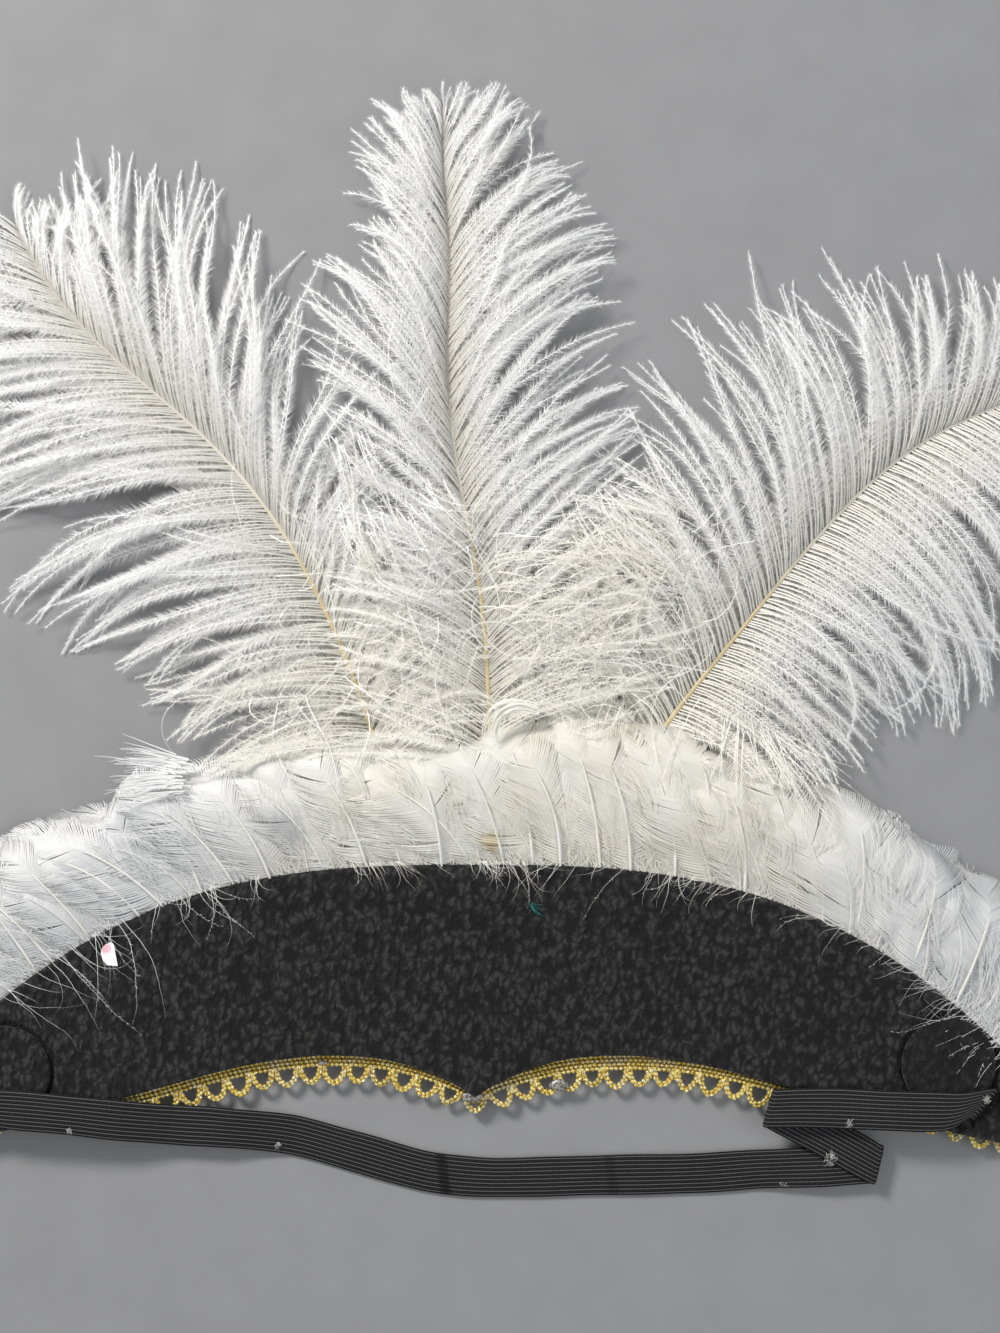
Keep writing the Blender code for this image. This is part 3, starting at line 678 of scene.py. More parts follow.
# A few single barbs stand out, and one bare stem is bent over.
STRAYS = (  # photo pixels along each
    (753, 542, 722, 548, 692, 563, 680, 594, 646, 632), (396, 322, 389, 351, 396, 402, 408, 460, 418, 520),
    (428, 390, 421, 404, 414, 414, 409, 424, 407, 434), (464, 542, 458, 562, 447, 582, 425, 600, 400, 607),
)
turns = np.linspace(0, 1, 5)
path = []
for pixels in STRAYS:
    spots = np.stack(photo_place(np.array(pixels[::2], float), np.array(pixels[1::2], float)), axis=1)
    table = np.column_stack([turns, spots])
    fine = np.linspace(0, 1, 24)
    path.append(
        np.stack([smooth(table, fine, 1), smooth(table, fine, 2), 0.0150 - 0.004 * fine ** 2], axis=1)
    )
loose_barbs("plume_center_single_barbs", "plume_center", np.array(path[:3]), 0.045, 2600, 0.0009, rng)
rod, quads = tubes(np.array(path[3:]), 0.00022 * np.sin(np.linspace(0.15, 3.0, 24))[None], 5)
stem = new_piece("plume_center_bent_stem", rod, [quads], quill_horn, np.full((len(rod), 2), 0.9))
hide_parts("plume_center")

# Goose feather fringe
# White goose feathers strung along a cream cotton tape. The tape is sewn under the panel's top edge, on the
# front, so the feathers rise from beneath the edge, arch over and curl down.
# Their vanes overlap, soft and satiny, with fine down round their roots.
GOOSE_REACH = (
    (0.04, 0.30), (0.14, 0.72), (0.25, 1.00), (0.45, 1.15), (0.70, 1.05), (0.88, 0.80), (1.0, 0.50)
)
GOOSE_ANGLE = ((0.04, 78), (0.20, 60), (0.45, 46), (0.80, 36), (0.93, 24), (1.0, 6))
GOOSE_BARB = 0.0185
GOOSE_ROWS = 58
GOOSE_STEPS = 8
GOOSE_START = 0.055
FRINGE_OUTLINE = (  # photo pixels across, how far the curled feathers reach from the edge
    (-60, 0.038), (0, 0.040), (45, 0.035), (97, 0.032), (116, 0.0395), (156, 0.038), (220, 0.037),
    (380, 0.039),
    (475, 0.037), (520, 0.042), (570, 0.046), (640, 0.046), (690, 0.043), (730, 0.038), (886, 0.0376),
    (924, 0.0358), (965, 0.033),
    (1000, 0.035), (1060, 0.036),
)
QUILLS = (  # photo pixels: foot across and down, then a point further up the quill
    (270, 878, 248, 789), (230, 881, 177, 796), (159, 904, 94, 834), (203, 892, 198, 834),
    (139, 914, 114, 862),
    (87, 933, 71, 900), (48, 957, 0, 881), (33, 964, 26, 942), (321, 862, 307, 807), (367, 862, 366, 834),
    (400, 862, 393, 838), (442, 862, 442, 850), (461, 853, 392, 782), (504, 856, 502, 790),
    (534, 860, 535, 848),
    (561, 863, 566, 794), (601, 865, 602, 839), (631, 870, 632, 842), (676, 877, 684, 808),
    (710, 856, 723, 794),
    (745, 891, 752, 811), (788, 882, 802, 842), (858, 922, 872, 842), (912, 966, 932, 910),
    (960, 995, 983, 940),
    (983, 1018, 1000, 998),
)


def closed_sheet(upper, lower, first=0):
    """Places and quads of a sheet between two grids, rows up and columns to the right, walls on its border."""
    rows, columns = upper.shape[:2]
    index = first + np.arange(rows * columns).reshape(rows, columns)
    face = np.stack([index[:-1, :-1], index[:-1, 1:], index[1:, 1:], index[1:, :-1]], axis=-1).reshape(-1, 4)
    border = np.concatenate([index[0], index[1:, -1], index[-1, -2::-1], index[-2:0:-1, 0]])
    ahead, size = np.roll(border, -1), rows * columns
    wall = np.stack([ahead, border, border + size, ahead + size], axis=-1)
    places = np.concatenate([upper.reshape(-1, 3), lower.reshape(-1, 3)])
    return places, np.concatenate([face, face[:, ::-1] + size, wall])


def ripple(places, wavelength, seed, waves=22):
    """A smooth random field of unit spread: a sum of sine waves of one length in random directions."""
    rng = np.random.default_rng(seed)
    turn, phase = rng.uniform(0, 2 * np.pi, (2, waves))
    reach = 2 * np.pi / wavelength * rng.uniform(0.75, 1.3, waves)
    x, y = places[..., 0, None], places[..., 1, None]
    return np.sin((x * np.cos(turn) + y * np.sin(turn)) * reach + phase).sum(-1) * np.sqrt(2 / waves)


rng = np.random.default_rng(5)
seen = np.array(QUILLS, float)
foot, further = (np.stack(photo_place(seen[:, k], seen[:, k + 1]), axis=1) for k in (0, 2))
lines = further - foot
feet = np.concatenate([foot - unit(lines) * 0.003, top_points[4:397:9] - 0.003 * top_out[4:397:9]])
goose_count = len(feet)
on_top = np.arange(goose_count) < len(seen)
nearest = np.argmin(np.linalg.norm(feet[:, None] - top_points[None], axis=2), axis=1)
goose_heading = np.arctan2(-top_out[nearest, 0], top_out[nearest, 1]) + rng.normal(0.20, 0.12, goose_count)
goose_heading[on_top] = 0.6 * np.arctan2(-lines[:, 0], lines[:, 1]) + 0.4 * goose_heading[on_top]
goose_bend = rng.normal(0.80, 0.28, goose_count)
goose_bend[np.abs(goose_bend) < 0.05] = 0.05
goose_length = FRINGE_DEPTH * rng.normal(1.16, 0.07, goose_count)
goose_length *= 1 + 0.20 * np.exp(-(((feet[:, 0] - photo_place(610, 0)[0]) / 0.030) ** 2))
goose_roll = rng.normal(0.06, 0.05, goose_count)
goose_layer = np.where(on_top, 0.0, -0.0010) + rng.uniform(-0.0006, 0.0006, goose_count)
goose_phase = rng.uniform(0, 2 * np.pi, (goose_count, 3))
goose_width = rng.normal(1.0, 0.12, goose_count)


def goose_quill(f, s):
    """Level place and heading at share s of feather f: its heading turns evenly, so it lies on an arc."""
    start, bend = goose_heading[f], goose_bend[f]
    turn = start + bend * s
    arc = np.stack([np.cos(turn) - np.cos(start), np.sin(turn) - np.sin(start)], axis=-1)
    return feet[f] + arc * (goose_length[f] / bend)[..., None], turn


def goose_height(f, forward, aside):
    """Height over feather f: the fringe's arch by the share forward, its roll, and folds beside the quill."""
    a, b, c = goose_phase[f].T
    folds = np.sin(aside * 620 + forward * 5.5 + a[:, None]) * 0.55
    folds = folds + np.sin(aside * 1150 - forward * 8 + b[:, None]) * 0.3
    folds = folds + np.sin(aside * 300 + forward * 11 + c[:, None]) * 0.45
    height = SEAM_TOP + 0.0002 + FRINGE_RISE * smooth(FRINGE_ARCH, forward) + goose_layer[f][:, None]
    height = height + goose_roll[f][:, None] * aside + folds * 0.0013 * np.clip(np.abs(aside) / 0.008, 0, 1)
    return np.maximum(height - 22.0 * aside ** 2, 0.0007)


def goose_barbs(f, side, s, swing, longer, lift):
    """Barb paths: each leaves the quill at its angle and bends towards the tip, at the feather's height."""
    root, turn = goose_quill(f, s)
    v = np.linspace(0, 1, GOOSE_STEPS)[None, :]
    angle = np.radians(smooth(GOOSE_ANGLE, s) + swing)[:, None] * (1.10 - 0.50 * v)
    reach = smooth(GOOSE_REACH, s) * GOOSE_BARB * longer * goose_width[f] / (GOOSE_STEPS - 1)
    way = turn[:, None] + side * angle
    steps = np.stack([-np.sin(way), np.cos(way), np.cos(angle), side * np.sin(angle)], axis=-1) * reach[
        :, None, None
    ]
    run = np.concatenate([np.zeros((len(s), 1, 4)), np.cumsum(steps[:, :-1], axis=1)], axis=1)
    forward = s[:, None] + run[..., 2] / goose_length[f][:, None]
    height = goose_height(f, forward, run[..., 3]) + lift[:, None] * v ** 1.5
    return np.concatenate([root[:, None] + run[..., :2], height[..., None]], axis=-1)


def curled(places):
    """Turns what lies beyond the fringe's outline back and down, so that its outer border is a soft curl."""
    flat = places.reshape(-1, 3)
    near, reach = from_edge(places)
    out = top_out[near]
    most = smooth(np.array([(photo_place(a, 0)[0], far) for a, far in FRINGE_OUTLINE]), flat[:, 0])
    most = most + ripple(flat, 0.014, 51) * 0.0006
    start = most * 0.66
    over = np.maximum(reach - start, 0.0)
    kept = (most - start) * (1 - np.exp(-over / (most - start)))
    moved = flat.copy()
    moved[:, :2] += out * np.where(over > 0, kept - over, 0.0)[:, None]
    moved[:, 2] = np.maximum(moved[:, 2] - (over - kept) * 0.55, 0.0005 + 0.12 * np.clip(kept, 0, 0.004))
    return moved.reshape(places.shape)


def ribbon_spots(count, steps, width, start):
    """Map places of ribbons: one thin column for each, in half of the map's height from start."""
    column = np.repeat(np.arange(count) / count, 2 * steps) * 0.99 + np.tile([0, width], steps * count)
    run = np.tile(np.repeat(np.linspace(0, 1, steps), 2), count)
    return np.stack([column, start + run * 0.49], axis=1)


goose_places, goose_faces, goose_spots, first = [], [], [], 0
pitch = (1 - GOOSE_START) / GOOSE_ROWS
f = np.repeat(np.arange(goose_count), GOOSE_ROWS)
for side in (1, -1):
    s = GOOSE_START + pitch * np.tile(np.arange(GOOSE_ROWS), goose_count)
    clump = np.cumsum(rng.uniform(size=len(s)) < 0.12)
    swing, longer, lift = (rng.normal(0, spread, clump.max() + 1)[clump] for spread in (2.2, 0.07, 0.0005))
    longer = 1 + longer + rng.normal(0, 0.05, len(s))
    lift = lift + rng.normal(0, 0.00016, len(s))
    near = goose_barbs(f, side, s, swing, longer, lift)
    far = goose_barbs(f, side, s + pitch, swing, longer, lift + rng.normal(0, 0.00022, len(s)))
    taper = (0.04 + np.linspace(0, 1, GOOSE_STEPS) ** 1.5 * 0.36)[None, :, None]
    near, far = curled(near + (far - near) * taper), curled(far - (far - near) * taper)
    pair = (near, far) if side < 0 else (far, near)
    goose_places.append(np.stack(pair, axis=2).reshape(-1, 3))
    goose_faces.append(ribbon_quads(len(s), GOOSE_STEPS, first))
    first += len(goose_places[-1])
    v = np.linspace(0, 1, GOOSE_STEPS)
    tile = np.stack(
        np.broadcast_arrays(s[:, None, None] + [[[0.0, pitch]]], (0.5 + side * 0.5 * v)[None, :, None]), -1
    )
    goose_spots.append(((tile + np.stack([f % 9, f // 9], axis=1)[:, None, None]) / 9).reshape(-1, 2))

# Brown stains, and last a grey-blue mark of painted shade where the left plume's vane lies over the fringe.
STAINS_AND_SHADE = (  # photo pixels across and down, radius in metres, how strong, colour
    (492, 845, 0.0042, 0.75, (0.66, 0.53, 0.26)), (662, 874, 0.0030, 0.6, (0.70, 0.58, 0.32)),
    (870, 935, 0.0030, 0.5, (0.70, 0.60, 0.38)), (288, 826, 0.0075, 0.5, (0.36, 0.37, 0.39)),
)


def marked(paint, where, tone):
    """Blends the stains and the painted shade into a tone, each fading out from its middle at the height of the
    feathers.
    """
    ragged = paint.noise(where, 300.0, 3.0, 0.7)
    for across, down, radius, strong, colour in STAINS_AND_SHADE:
        spot = (*map(float, photo_place(across, down)), SEAM_TOP + FRINGE_RISE * 0.6)
        away = paint.apart(where, spot)
        share = 1 - paint.steps(away + (ragged - 0.5) * (radius * 1.6), radius * 0.15, radius * 1.1)
        tone = paint.blend(share * strong, tone, colour)
    return tone


goose, paint, link = new_finish("white_goose_vane", 0.50, Specular_IOR_Level=0.35)
where = paint.here()
patch = paint.noise(where, 42.0, 3.0)
strand = paint.node("Mapping", None, {"Vector": paint.chart(MAP), "Scale": (520.0, 9.0, 1.0)})
streak_highlight = paint.noise(strand, 3.0, 2.0)
across, _ = paint.split(where)
warm = 1 - paint.steps(paint.math("ABSOLUTE", across - 0.015), 0.045, 0.110)
# Away from the warm middle the vanes are grey, with darker grey patches of painted shade between the overlapping
# feathers.
cool = paint.blend(paint.steps(patch, 0.42, 0.66), (0.75, 0.75, 0.745), (0.55, 0.56, 0.57))
cream = paint.blend(paint.steps(patch, 0.40, 0.70), (0.84, 0.82, 0.75), (0.78, 0.73, 0.61))
# The light streaks along the barbs are painted highlights.
tone = paint.blend(
    paint.steps(streak_highlight, 0.42, 0.70) * 0.65, paint.blend(warm, cool, cream), (0.95, 0.945, 0.925)
)
link(Base_Color=marked(paint, where, tone))
vanes = new_piece(
    "goose_feather_vanes", np.concatenate(goose_places), goose_faces, goose, np.concatenate(goose_spots)
)

# The quills shine through the vanes; those that the photo shows lie on top.
s = np.linspace(0, 0.92, 24)
f = np.repeat(np.arange(goose_count), 24)
line, _ = goose_quill(f, np.tile(s, goose_count))
height = goose_height(f, np.tile(s, goose_count)[:, None], np.zeros((len(f), 1)))
path = curled(np.concatenate([line, height], axis=1)).reshape(goose_count, 24, 3) + [0, 0, 0.0007]
path = path[:, :18:2]
radius = np.where(on_top, 0.00050, 0.0002)[:, None] * (1 - s[:18:2] * 0.95)[None]
radius[:, [0, -1]] *= 0.05
rods, quads = tubes(path, radius, 5)
goose_horn, paint, link = new_finish("goose_quill", 0.40)
clear = paint.noise(paint.here(), 200.0)
link(Base_Color=paint.ramp(clear, (0.3, (0.97, 0.94, 0.84)), (0.7, (0.99, 0.98, 0.93))))
goose_quills = new_piece("goose_feather_quills", rods, [quads], goose_horn)

# Silky strands lie on the vanes in locks. They rise outward and then turn along the fringe, to the left.
locks = 150
k = rng.integers(10, 390, locks)
lock = np.repeat(np.arange(locks), 9)
reach = rng.uniform(0.001, 0.020, locks)[lock] + rng.normal(0, 0.0012, len(lock))
spread = (top_tangents[k] * rng.normal(0, 0.0016, locks)[:, None])[lock] + top_tangents[k][lock] * rng.normal(
    0, 0.0012, (len(lock), 1)
)
edge_turn = np.arctan2(-top_out[k, 0], top_out[k, 1])
level = hairs(
    top_points[k][lock] + top_out[k][lock] * reach[:, None] + spread,
    (edge_turn + rng.normal(0.35, 0.28, locks))[lock] + rng.normal(0, 0.10, len(lock)),
    rng.uniform(0.010, 0.024, locks)[lock] * rng.uniform(0.7, 1.1, len(lock)),
    rng.normal(0.85, 0.35, locks)[lock] + rng.normal(0, 0.12, len(lock)), 0.035, 12, rng,
)
v = np.linspace(0, 1, 12)[None]
lift = 0.0010 + rng.uniform(0, 0.0012, (len(lock), 1)) * np.sin(np.pi * v)
path = curled(over_fringe(level) + lift[..., None] * [0, 0, 1])
silk, silk_quads = ribbons(path, 0.00017 * (1.05 - v) * np.ones((len(lock), 1)))
# Short down covers the tape right beside the fleece.
short = 2900
at = rng.integers(4, 396, short)
inward, aside = rng.uniform(-0.0006, 0.0010, (short, 1)), rng.uniform(-0.0007, 0.0007, (short, 1))
level = hairs(
    top_points[at] - top_out[at] * inward + top_tangents[at] * aside,
    np.arctan2(-top_out[at, 0], top_out[at, 1]) + rng.normal(0.30, 0.42, short),
    rng.uniform(0.003, 0.0075, short), rng.normal(0.4, 0.5, short), 0.08, 6, rng,
)
path = over_fringe(level) + rng.uniform(0.0003, 0.0013, (short, 1, 1)) * [0, 0, 1]
brush, brush_quads = ribbons(path, 0.00028 * (1.05 - np.linspace(0, 1, 6)) * np.ones((short, 1)), len(silk))
spots = np.concatenate([ribbon_spots(len(lock), 12, 0.0005, 0.0), ribbon_spots(short, 6, 0.0002, 0.5)])
silky, paint, link = new_finish("goose_down", 0.5)
where = paint.here()
side, _ = paint.split(where)
warm = 1 - paint.steps(paint.math("ABSOLUTE", side - 0.015), 0.045, 0.110)
fine = paint.noise(where, 260.0, 2.0)
white = paint.blend(fine, (0.80, 0.80, 0.79), (0.93, 0.93, 0.92))
tone = paint.blend(warm, white, paint.blend(fine, (0.86, 0.83, 0.74), (0.94, 0.92, 0.86)))
link(Base_Color=marked(paint, where, tone))
down = new_piece(
    "goose_down", np.concatenate([silk, brush]), [silk_quads, brush_quads], silky, spots, shade_smooth=False
)

# Beside the centre quill the tip of one feather curls back on itself in a hook.
tuft = 46
foot = np.stack(photo_place(rng.normal(533, 3, tuft), rng.normal(709, 3, tuft)), axis=1)
level = hairs(
    foot, rng.normal(1.25, 0.10, tuft), rng.normal(0.0165, 0.0012, tuft), rng.normal(2.3, 0.12, tuft), 0.02,
    14, rng,
)
height = 0.0128 + 0.0014 * np.sin(np.pi * np.linspace(0, 1, 14))[None] + rng.normal(0, 0.0003, (tuft, 1))
path = raised(level, height[..., None])
hook_places, hook_quads = ribbons(
    path, 0.00040 * (1 - 0.7 * np.linspace(0, 1, 14))[None] * np.ones((tuft, 1))
)
hook = new_piece("hooked_goose_tip", hook_places, [hook_quads], goose_horn, shade_smooth=False)
# Left of the plumes a feather has parted, and its barbs point along the fringe.
torn = 90
share = rng.uniform(0, 1, torn)
foot = np.stack(photo_place(176 + rng.normal(0, 9, torn), 754 + 40 * share), axis=1)
level = hairs(foot, 1.25 + 0.45 * share + rng.normal(0, 0.07, torn), rng.uniform(0.009, 0.0175, torn),
              rng.normal(0.25, 0.10, torn), 0.012, 12, rng)
path = over_fringe(level)
path[..., 2] = np.maximum(path[..., 2], 0.0085) + 0.0018 + 0.0010 * rng.uniform(size=(torn, 1))
torn_places, torn_quads = ribbons(
    path, 0.00038 * (1 - 0.8 * np.linspace(0, 1, 12))[None] * np.ones((torn, 1))
)
lock = new_piece("parted_goose_lock", torn_places, [torn_quads], silky, shade_smooth=False)

# Down from the fringe lies over the panel's edge in wisps.
FLUFF = (  # photo pixels across, spread, hairs, longest in metres, lean
    (20, 18, 8, 0.024, 0.3), (70, 14, 10, 0.034, 0.2), (104, 10, 9, 0.032, 0.1), (184, 12, 12, 0.016, 0.0),
    (212, 8, 5, 0.018, 0.2), (256, 8, 6, 0.014, -0.4), (362, 8, 12, 0.006, 0.6), (392, 14, 14, 0.009, 0.9),
    (480, 12, 22, 0.008, 0.4), (515, 12, 12, 0.012, 0.6), (575, 20, 9, 0.018, -0.9), (658, 8, 9, 0.011, -0.3),
    (690, 12, 16, 0.010, -0.5), (735, 16, 12, 0.011, -0.8), (836, 12, 9, 0.015, -1.0),
    (874, 10, 7, 0.008, -1.0),
    (922, 12, 12, 0.010, -0.9), (945, 10, 14, 0.012, -0.8), (978, 12, 22, 0.020, -0.5),
    (1000, 10, 14, 0.022, -0.3),
)
fluff, which = each_hair(FLUFF, 2)
at = photo_place(rng.normal(fluff[which, 0], fluff[which, 1]), 0)[0]
k = np.clip(np.searchsorted(top_points[:, 0], at), 6, 393)
inward = np.arctan2(-top_out[k, 0], top_out[k, 1]) + np.pi
longest = fluff[which, 3] * rng.uniform(0.25, 1.0, len(which)) ** 1.2
level = hairs(
    top_points[k] + top_out[k] * 0.0012, inward + fluff[which, 4] + rng.normal(0, 0.30, len(which)),
    longest + 0.002,
    rng.normal(0, 0.8, len(which)) - fluff[which, 4] * 0.4, 0.10, 16, rng,
)
v = np.linspace(0, 1, 16)[None]
height = panel_high.z + 0.0003 + 0.0012 * np.sin(np.pi * v) * rng.uniform(0.1, 1, (len(which), 1))
path = raised(level, height[..., None])
flat, quads = ribbons(path, 0.00010 * (1.1 - v) * rng.uniform(0.7, 1.3, (len(which), 1)))
points, thread, _, _ = barbules(
    rng, path, longest * (rng.uniform(size=len(which)) < 0.35), 900, 0.0012, comb=0.0
)
fluff_hairs = new_piece(
    "down_over_edge", np.concatenate([flat, points.reshape(-1, 3)]), [quads, thread + len(flat)], silky,
    shade_smooth=False,
)

# The cotton tape lies flat under the edge, with the feathers' feet on it.
columns = 320
points, tangents, _ = edge_path(1, FRINGE_END, columns)
out = np.stack([-tangents[:, 1], tangents[:, 0]], axis=1)
reach = np.linspace(-0.0060, 0.0034, 6)
wave = 1 + 0.10 * np.sin(np.arange(columns) * 0.31) * np.sin(np.arange(columns) * 0.073)
level = points[None] + out[None] * (reach[:, None] * np.where(reach[:, None] > 0, wave[None], 1.0))[..., None]
lift = (0.00012 * ripple(level, 0.004, 31))[..., None]
upper = raised(level, SEAM_TOP + lift)
lower = raised(level, SEAM_TOP - 0.0009 + lift)
cotton, paint, link = new_finish("cream_cotton_tape", 0.85)
where = paint.here()
marked = paint.steps(paint.noise(where, 70.0, 3.0), 0.60, 0.72)
tone = paint.blend(marked, (0.84, 0.81, 0.72), (0.70, 0.56, 0.30))
weave = paint.noise(where, 1500.0, 2.0)
link(
    Base_Color=tone, Normal=paint.node("Bump", None, {"Strength": 0.35, "Distance": 0.0002, "Height": weave})
)
tape_places, tape_faces = closed_sheet(upper, lower)
tape = new_piece("fringe_tape", tape_places, [tape_faces], cotton)
for piece in (vanes, goose_quills, down, hook, lock, fluff_hairs, tape):
    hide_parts("feather_fringe")

# Fleece panel
# A crescent of thick black fleece with a peak in its lower edge. Its pile has worn into small nubs.
# It carries everything else. The strap goes through a slit near each end.
PANEL_TOP = panel_high.z
columns = np.concatenate(
    [np.linspace(0, ROUND_START, 150), ROUND_START + 0.095 * np.sin(np.linspace(0, np.pi / 2, 12))[1:]]
)
columns = np.concatenate([-columns[:0:-1], columns])
rows = np.linspace(0, 1, 42)
rows = 0.72 * rows + 0.28 * (0.5 - 0.5 * np.cos(np.pi * rows))
low, high = edge_heights(columns * 0.99999)
tips = (low[[0, -1]] + high[[0, -1]]) / 2
low[[0, -1]], high[[0, -1]] = tips - 0.01, tips + 0.01
level = panel_place(columns[None, :], low[None, :] + (high - low)[None, :] * rows[:, None])
rim = np.minimum(rows, 1 - rows)[:, None] * ((high - low) * panel_height)[None, :]
rim = np.minimum(rim, (PANEL_END - np.abs(columns))[None, :] * half_span * 1.6)
round_off = np.sqrt(1 - (1 - np.clip(rim / 0.0011, 0, 1)) ** 2)
stretched = level * [1.0, 0.72]
nubs = np.tanh(ripple(stretched, 0.0025, 41) * 1.1) * 0.00020 + ripple(level, 0.030, 42) * 0.00012
middle = (panel_low.z + PANEL_TOP) / 2
thick = (PANEL_TOP - panel_low.z) / 2
SLITS = ((-0.829, -0.034, 131), (0.823, -0.021, 49))  # across, up, degrees
pit = np.zeros(level.shape[:2])
for across, up, angle in SLITS:
    offset = level - panel_place(across, up)
    cosine, sine = np.cos(np.radians(angle)), np.sin(np.radians(angle))
    along = offset[..., 0] * cosine + offset[..., 1] * sine
    aside = offset[..., 1] * cosine - offset[..., 0] * sine
    pit = np.maximum(
        pit, np.clip(2.2 - np.abs(aside) / 0.0011, 0, 1) * np.clip(8 - np.abs(along) / 0.00085, 0, 1)
    )
PATCH_RADIUS = 0.0127
PATCH_SPOTS = (("end_patch_left", (-0.763, 0.115)), ("end_patch_right", (0.766, 0.150)))
PRESSED_RADIUS, PRESSED_WIDTH = 0.0131, 0.0009
ring = np.zeros(level.shape[:2])
for _, spot in PATCH_SPOTS:
    away = np.linalg.norm(level - panel_place(*spot), axis=-1)
    ring = ring + np.exp(-(((away - PRESSED_RADIUS) / PRESSED_WIDTH) ** 2))
top = middle + (thick * 0.93 + nubs) * round_off * (1 - pit * 0.9) - ring * 0.0011
upper = raised(level, top[..., None])
lower = raised(level, (middle - thick * 0.97 * round_off)[..., None])
fleece, paint, link = new_finish(
    "black_fleece", 0.95, Specular_IOR_Level=0.20, Sheen_Weight=0.18, Sheen_Roughness=0.5
)
where = paint.here()
drawn = paint.node(
    "Mapping", None, {"Vector": where, "Rotation": (0.0, 0.0, 0.35), "Scale": (1.0, 0.70, 1.0)}
)
wander = paint.node("TexNoise", None, {"Vector": where, "Scale": 330.0, "Detail": 2.0}, "Color")
warped = {"Vector": wander, "Vector_001": (0.0034, 0.0034, 0.0), "Vector_002": drawn}
bent = paint.node("VectorMath", {"operation": "MULTIPLY_ADD"}, warped, "Vector")
cell = paint.node(
    "TexVoronoi", {"feature": "SMOOTH_F1"}, {"Vector": bent, "Scale": 560.0, "Smoothness": 0.30}, "Distance"
)
pile = paint.noise(drawn, 700.0, 3.0, 0.6)
fuzz = paint.noise(where, 2600.0, 3.0, 0.7)
# The colour paints light and shade on the nubs: near black in the creases between them and lighter on their tops.
nub = (1 - cell) * 0.75 + pile * 0.5
tone = paint.ramp(
    nub, (0.50, (0.0075, 0.0073, 0.0073)), (0.68, (0.019, 0.0185, 0.018)), (0.86, (0.044, 0.043, 0.042))
)
# Painted highlights on the fibre tips.
tone = paint.blend(paint.steps(fuzz, 0.60, 0.80) * 0.35, tone, (0.10, 0.095, 0.09))
left_spot, right_spot = ((*map(float, panel_place(*spot)), PANEL_TOP) for _, spot in PATCH_SPOTS)
# A dark ring of painted shade in the groove round each disc.
for centre in (left_spot, right_spot):
    away = paint.apart(where, centre)
    groove_shade = paint.steps(away, 0.0118, 0.0127) * (1 - paint.steps(away, 0.0135, 0.0143))
    tone = paint.blend(groove_shade * 0.9, tone, (0.003, 0.003, 0.003))
tone = paint.blend((1 - paint.steps(away, 0.0116, 0.0124)) * 0.55, tone, (0.006, 0.006, 0.006))
relief = nub + fuzz * 0.16
link(
    Base_Color=tone, Normal=paint.node("Bump", None, {"Strength": 1.0, "Distance": 0.0017, "Height": relief})
)
panel_places, panel_faces = closed_sheet(upper, lower)
panel = new_piece("fleece_crescent", panel_places, [panel_faces], fleece)
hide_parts("fleece_panel")
cut_area = float(
    np.sum((high[1:] - low[1:] + high[:-1] - low[:-1]) / 2 * np.diff(columns)) * half_span * panel_height
)
spread = level.reshape(-1, 2).max(axis=0) - level.reshape(-1, 2).min(axis=0)

# Round end patches
# Two discs of the same fleece glued on the back near the ends, pressed flat so that a groove rings them; the dark
# ring in it is painted shade.
for name, spot in PATCH_SPOTS:
    patch_low, patch_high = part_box(name)
    turn = np.linspace(0, 2 * np.pi, 73)[:-1]
    ring = np.concatenate([np.linspace(0.002, 0.9, 14), [0.94, 0.965, 0.985, 0.996, 1.0]])
    level = panel_place(*spot) + PATCH_RADIUS * ring[:, None, None] * np.stack(
        [np.cos(turn), np.sin(turn)], axis=-1
    )
    edge = np.sqrt(1 - np.clip((ring - 0.93) / 0.07, 0, 1) ** 2)[:, None]
    tall = patch_high.z - patch_low.z
    top = patch_low.z + tall * (0.10 + 0.60 * edge) + ripple(level, 0.0026, 43) * 0.00009 * edge
    grid = np.stack([raised(level, top[..., None]), raised(level, patch_low.z + 0.0001)])
    size = len(ring) * len(turn)
    index = np.arange(size).reshape(len(ring), len(turn))
    after = np.roll(index, -1, axis=1)
    face = np.stack([index[:-1], index[1:], after[1:], after[:-1]], axis=-1).reshape(-1, 4)
    wall = np.stack([index[-1], index[-1] + size, after[-1] + size, after[-1]], axis=-1)
    caps = [index[0][None, :], index[0][None, ::-1] + size]
    disc = new_piece(name + "_disc", grid.reshape(-1, 3), [face, face[:, ::-1] + size, wall, *caps], fleece)
    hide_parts(name)

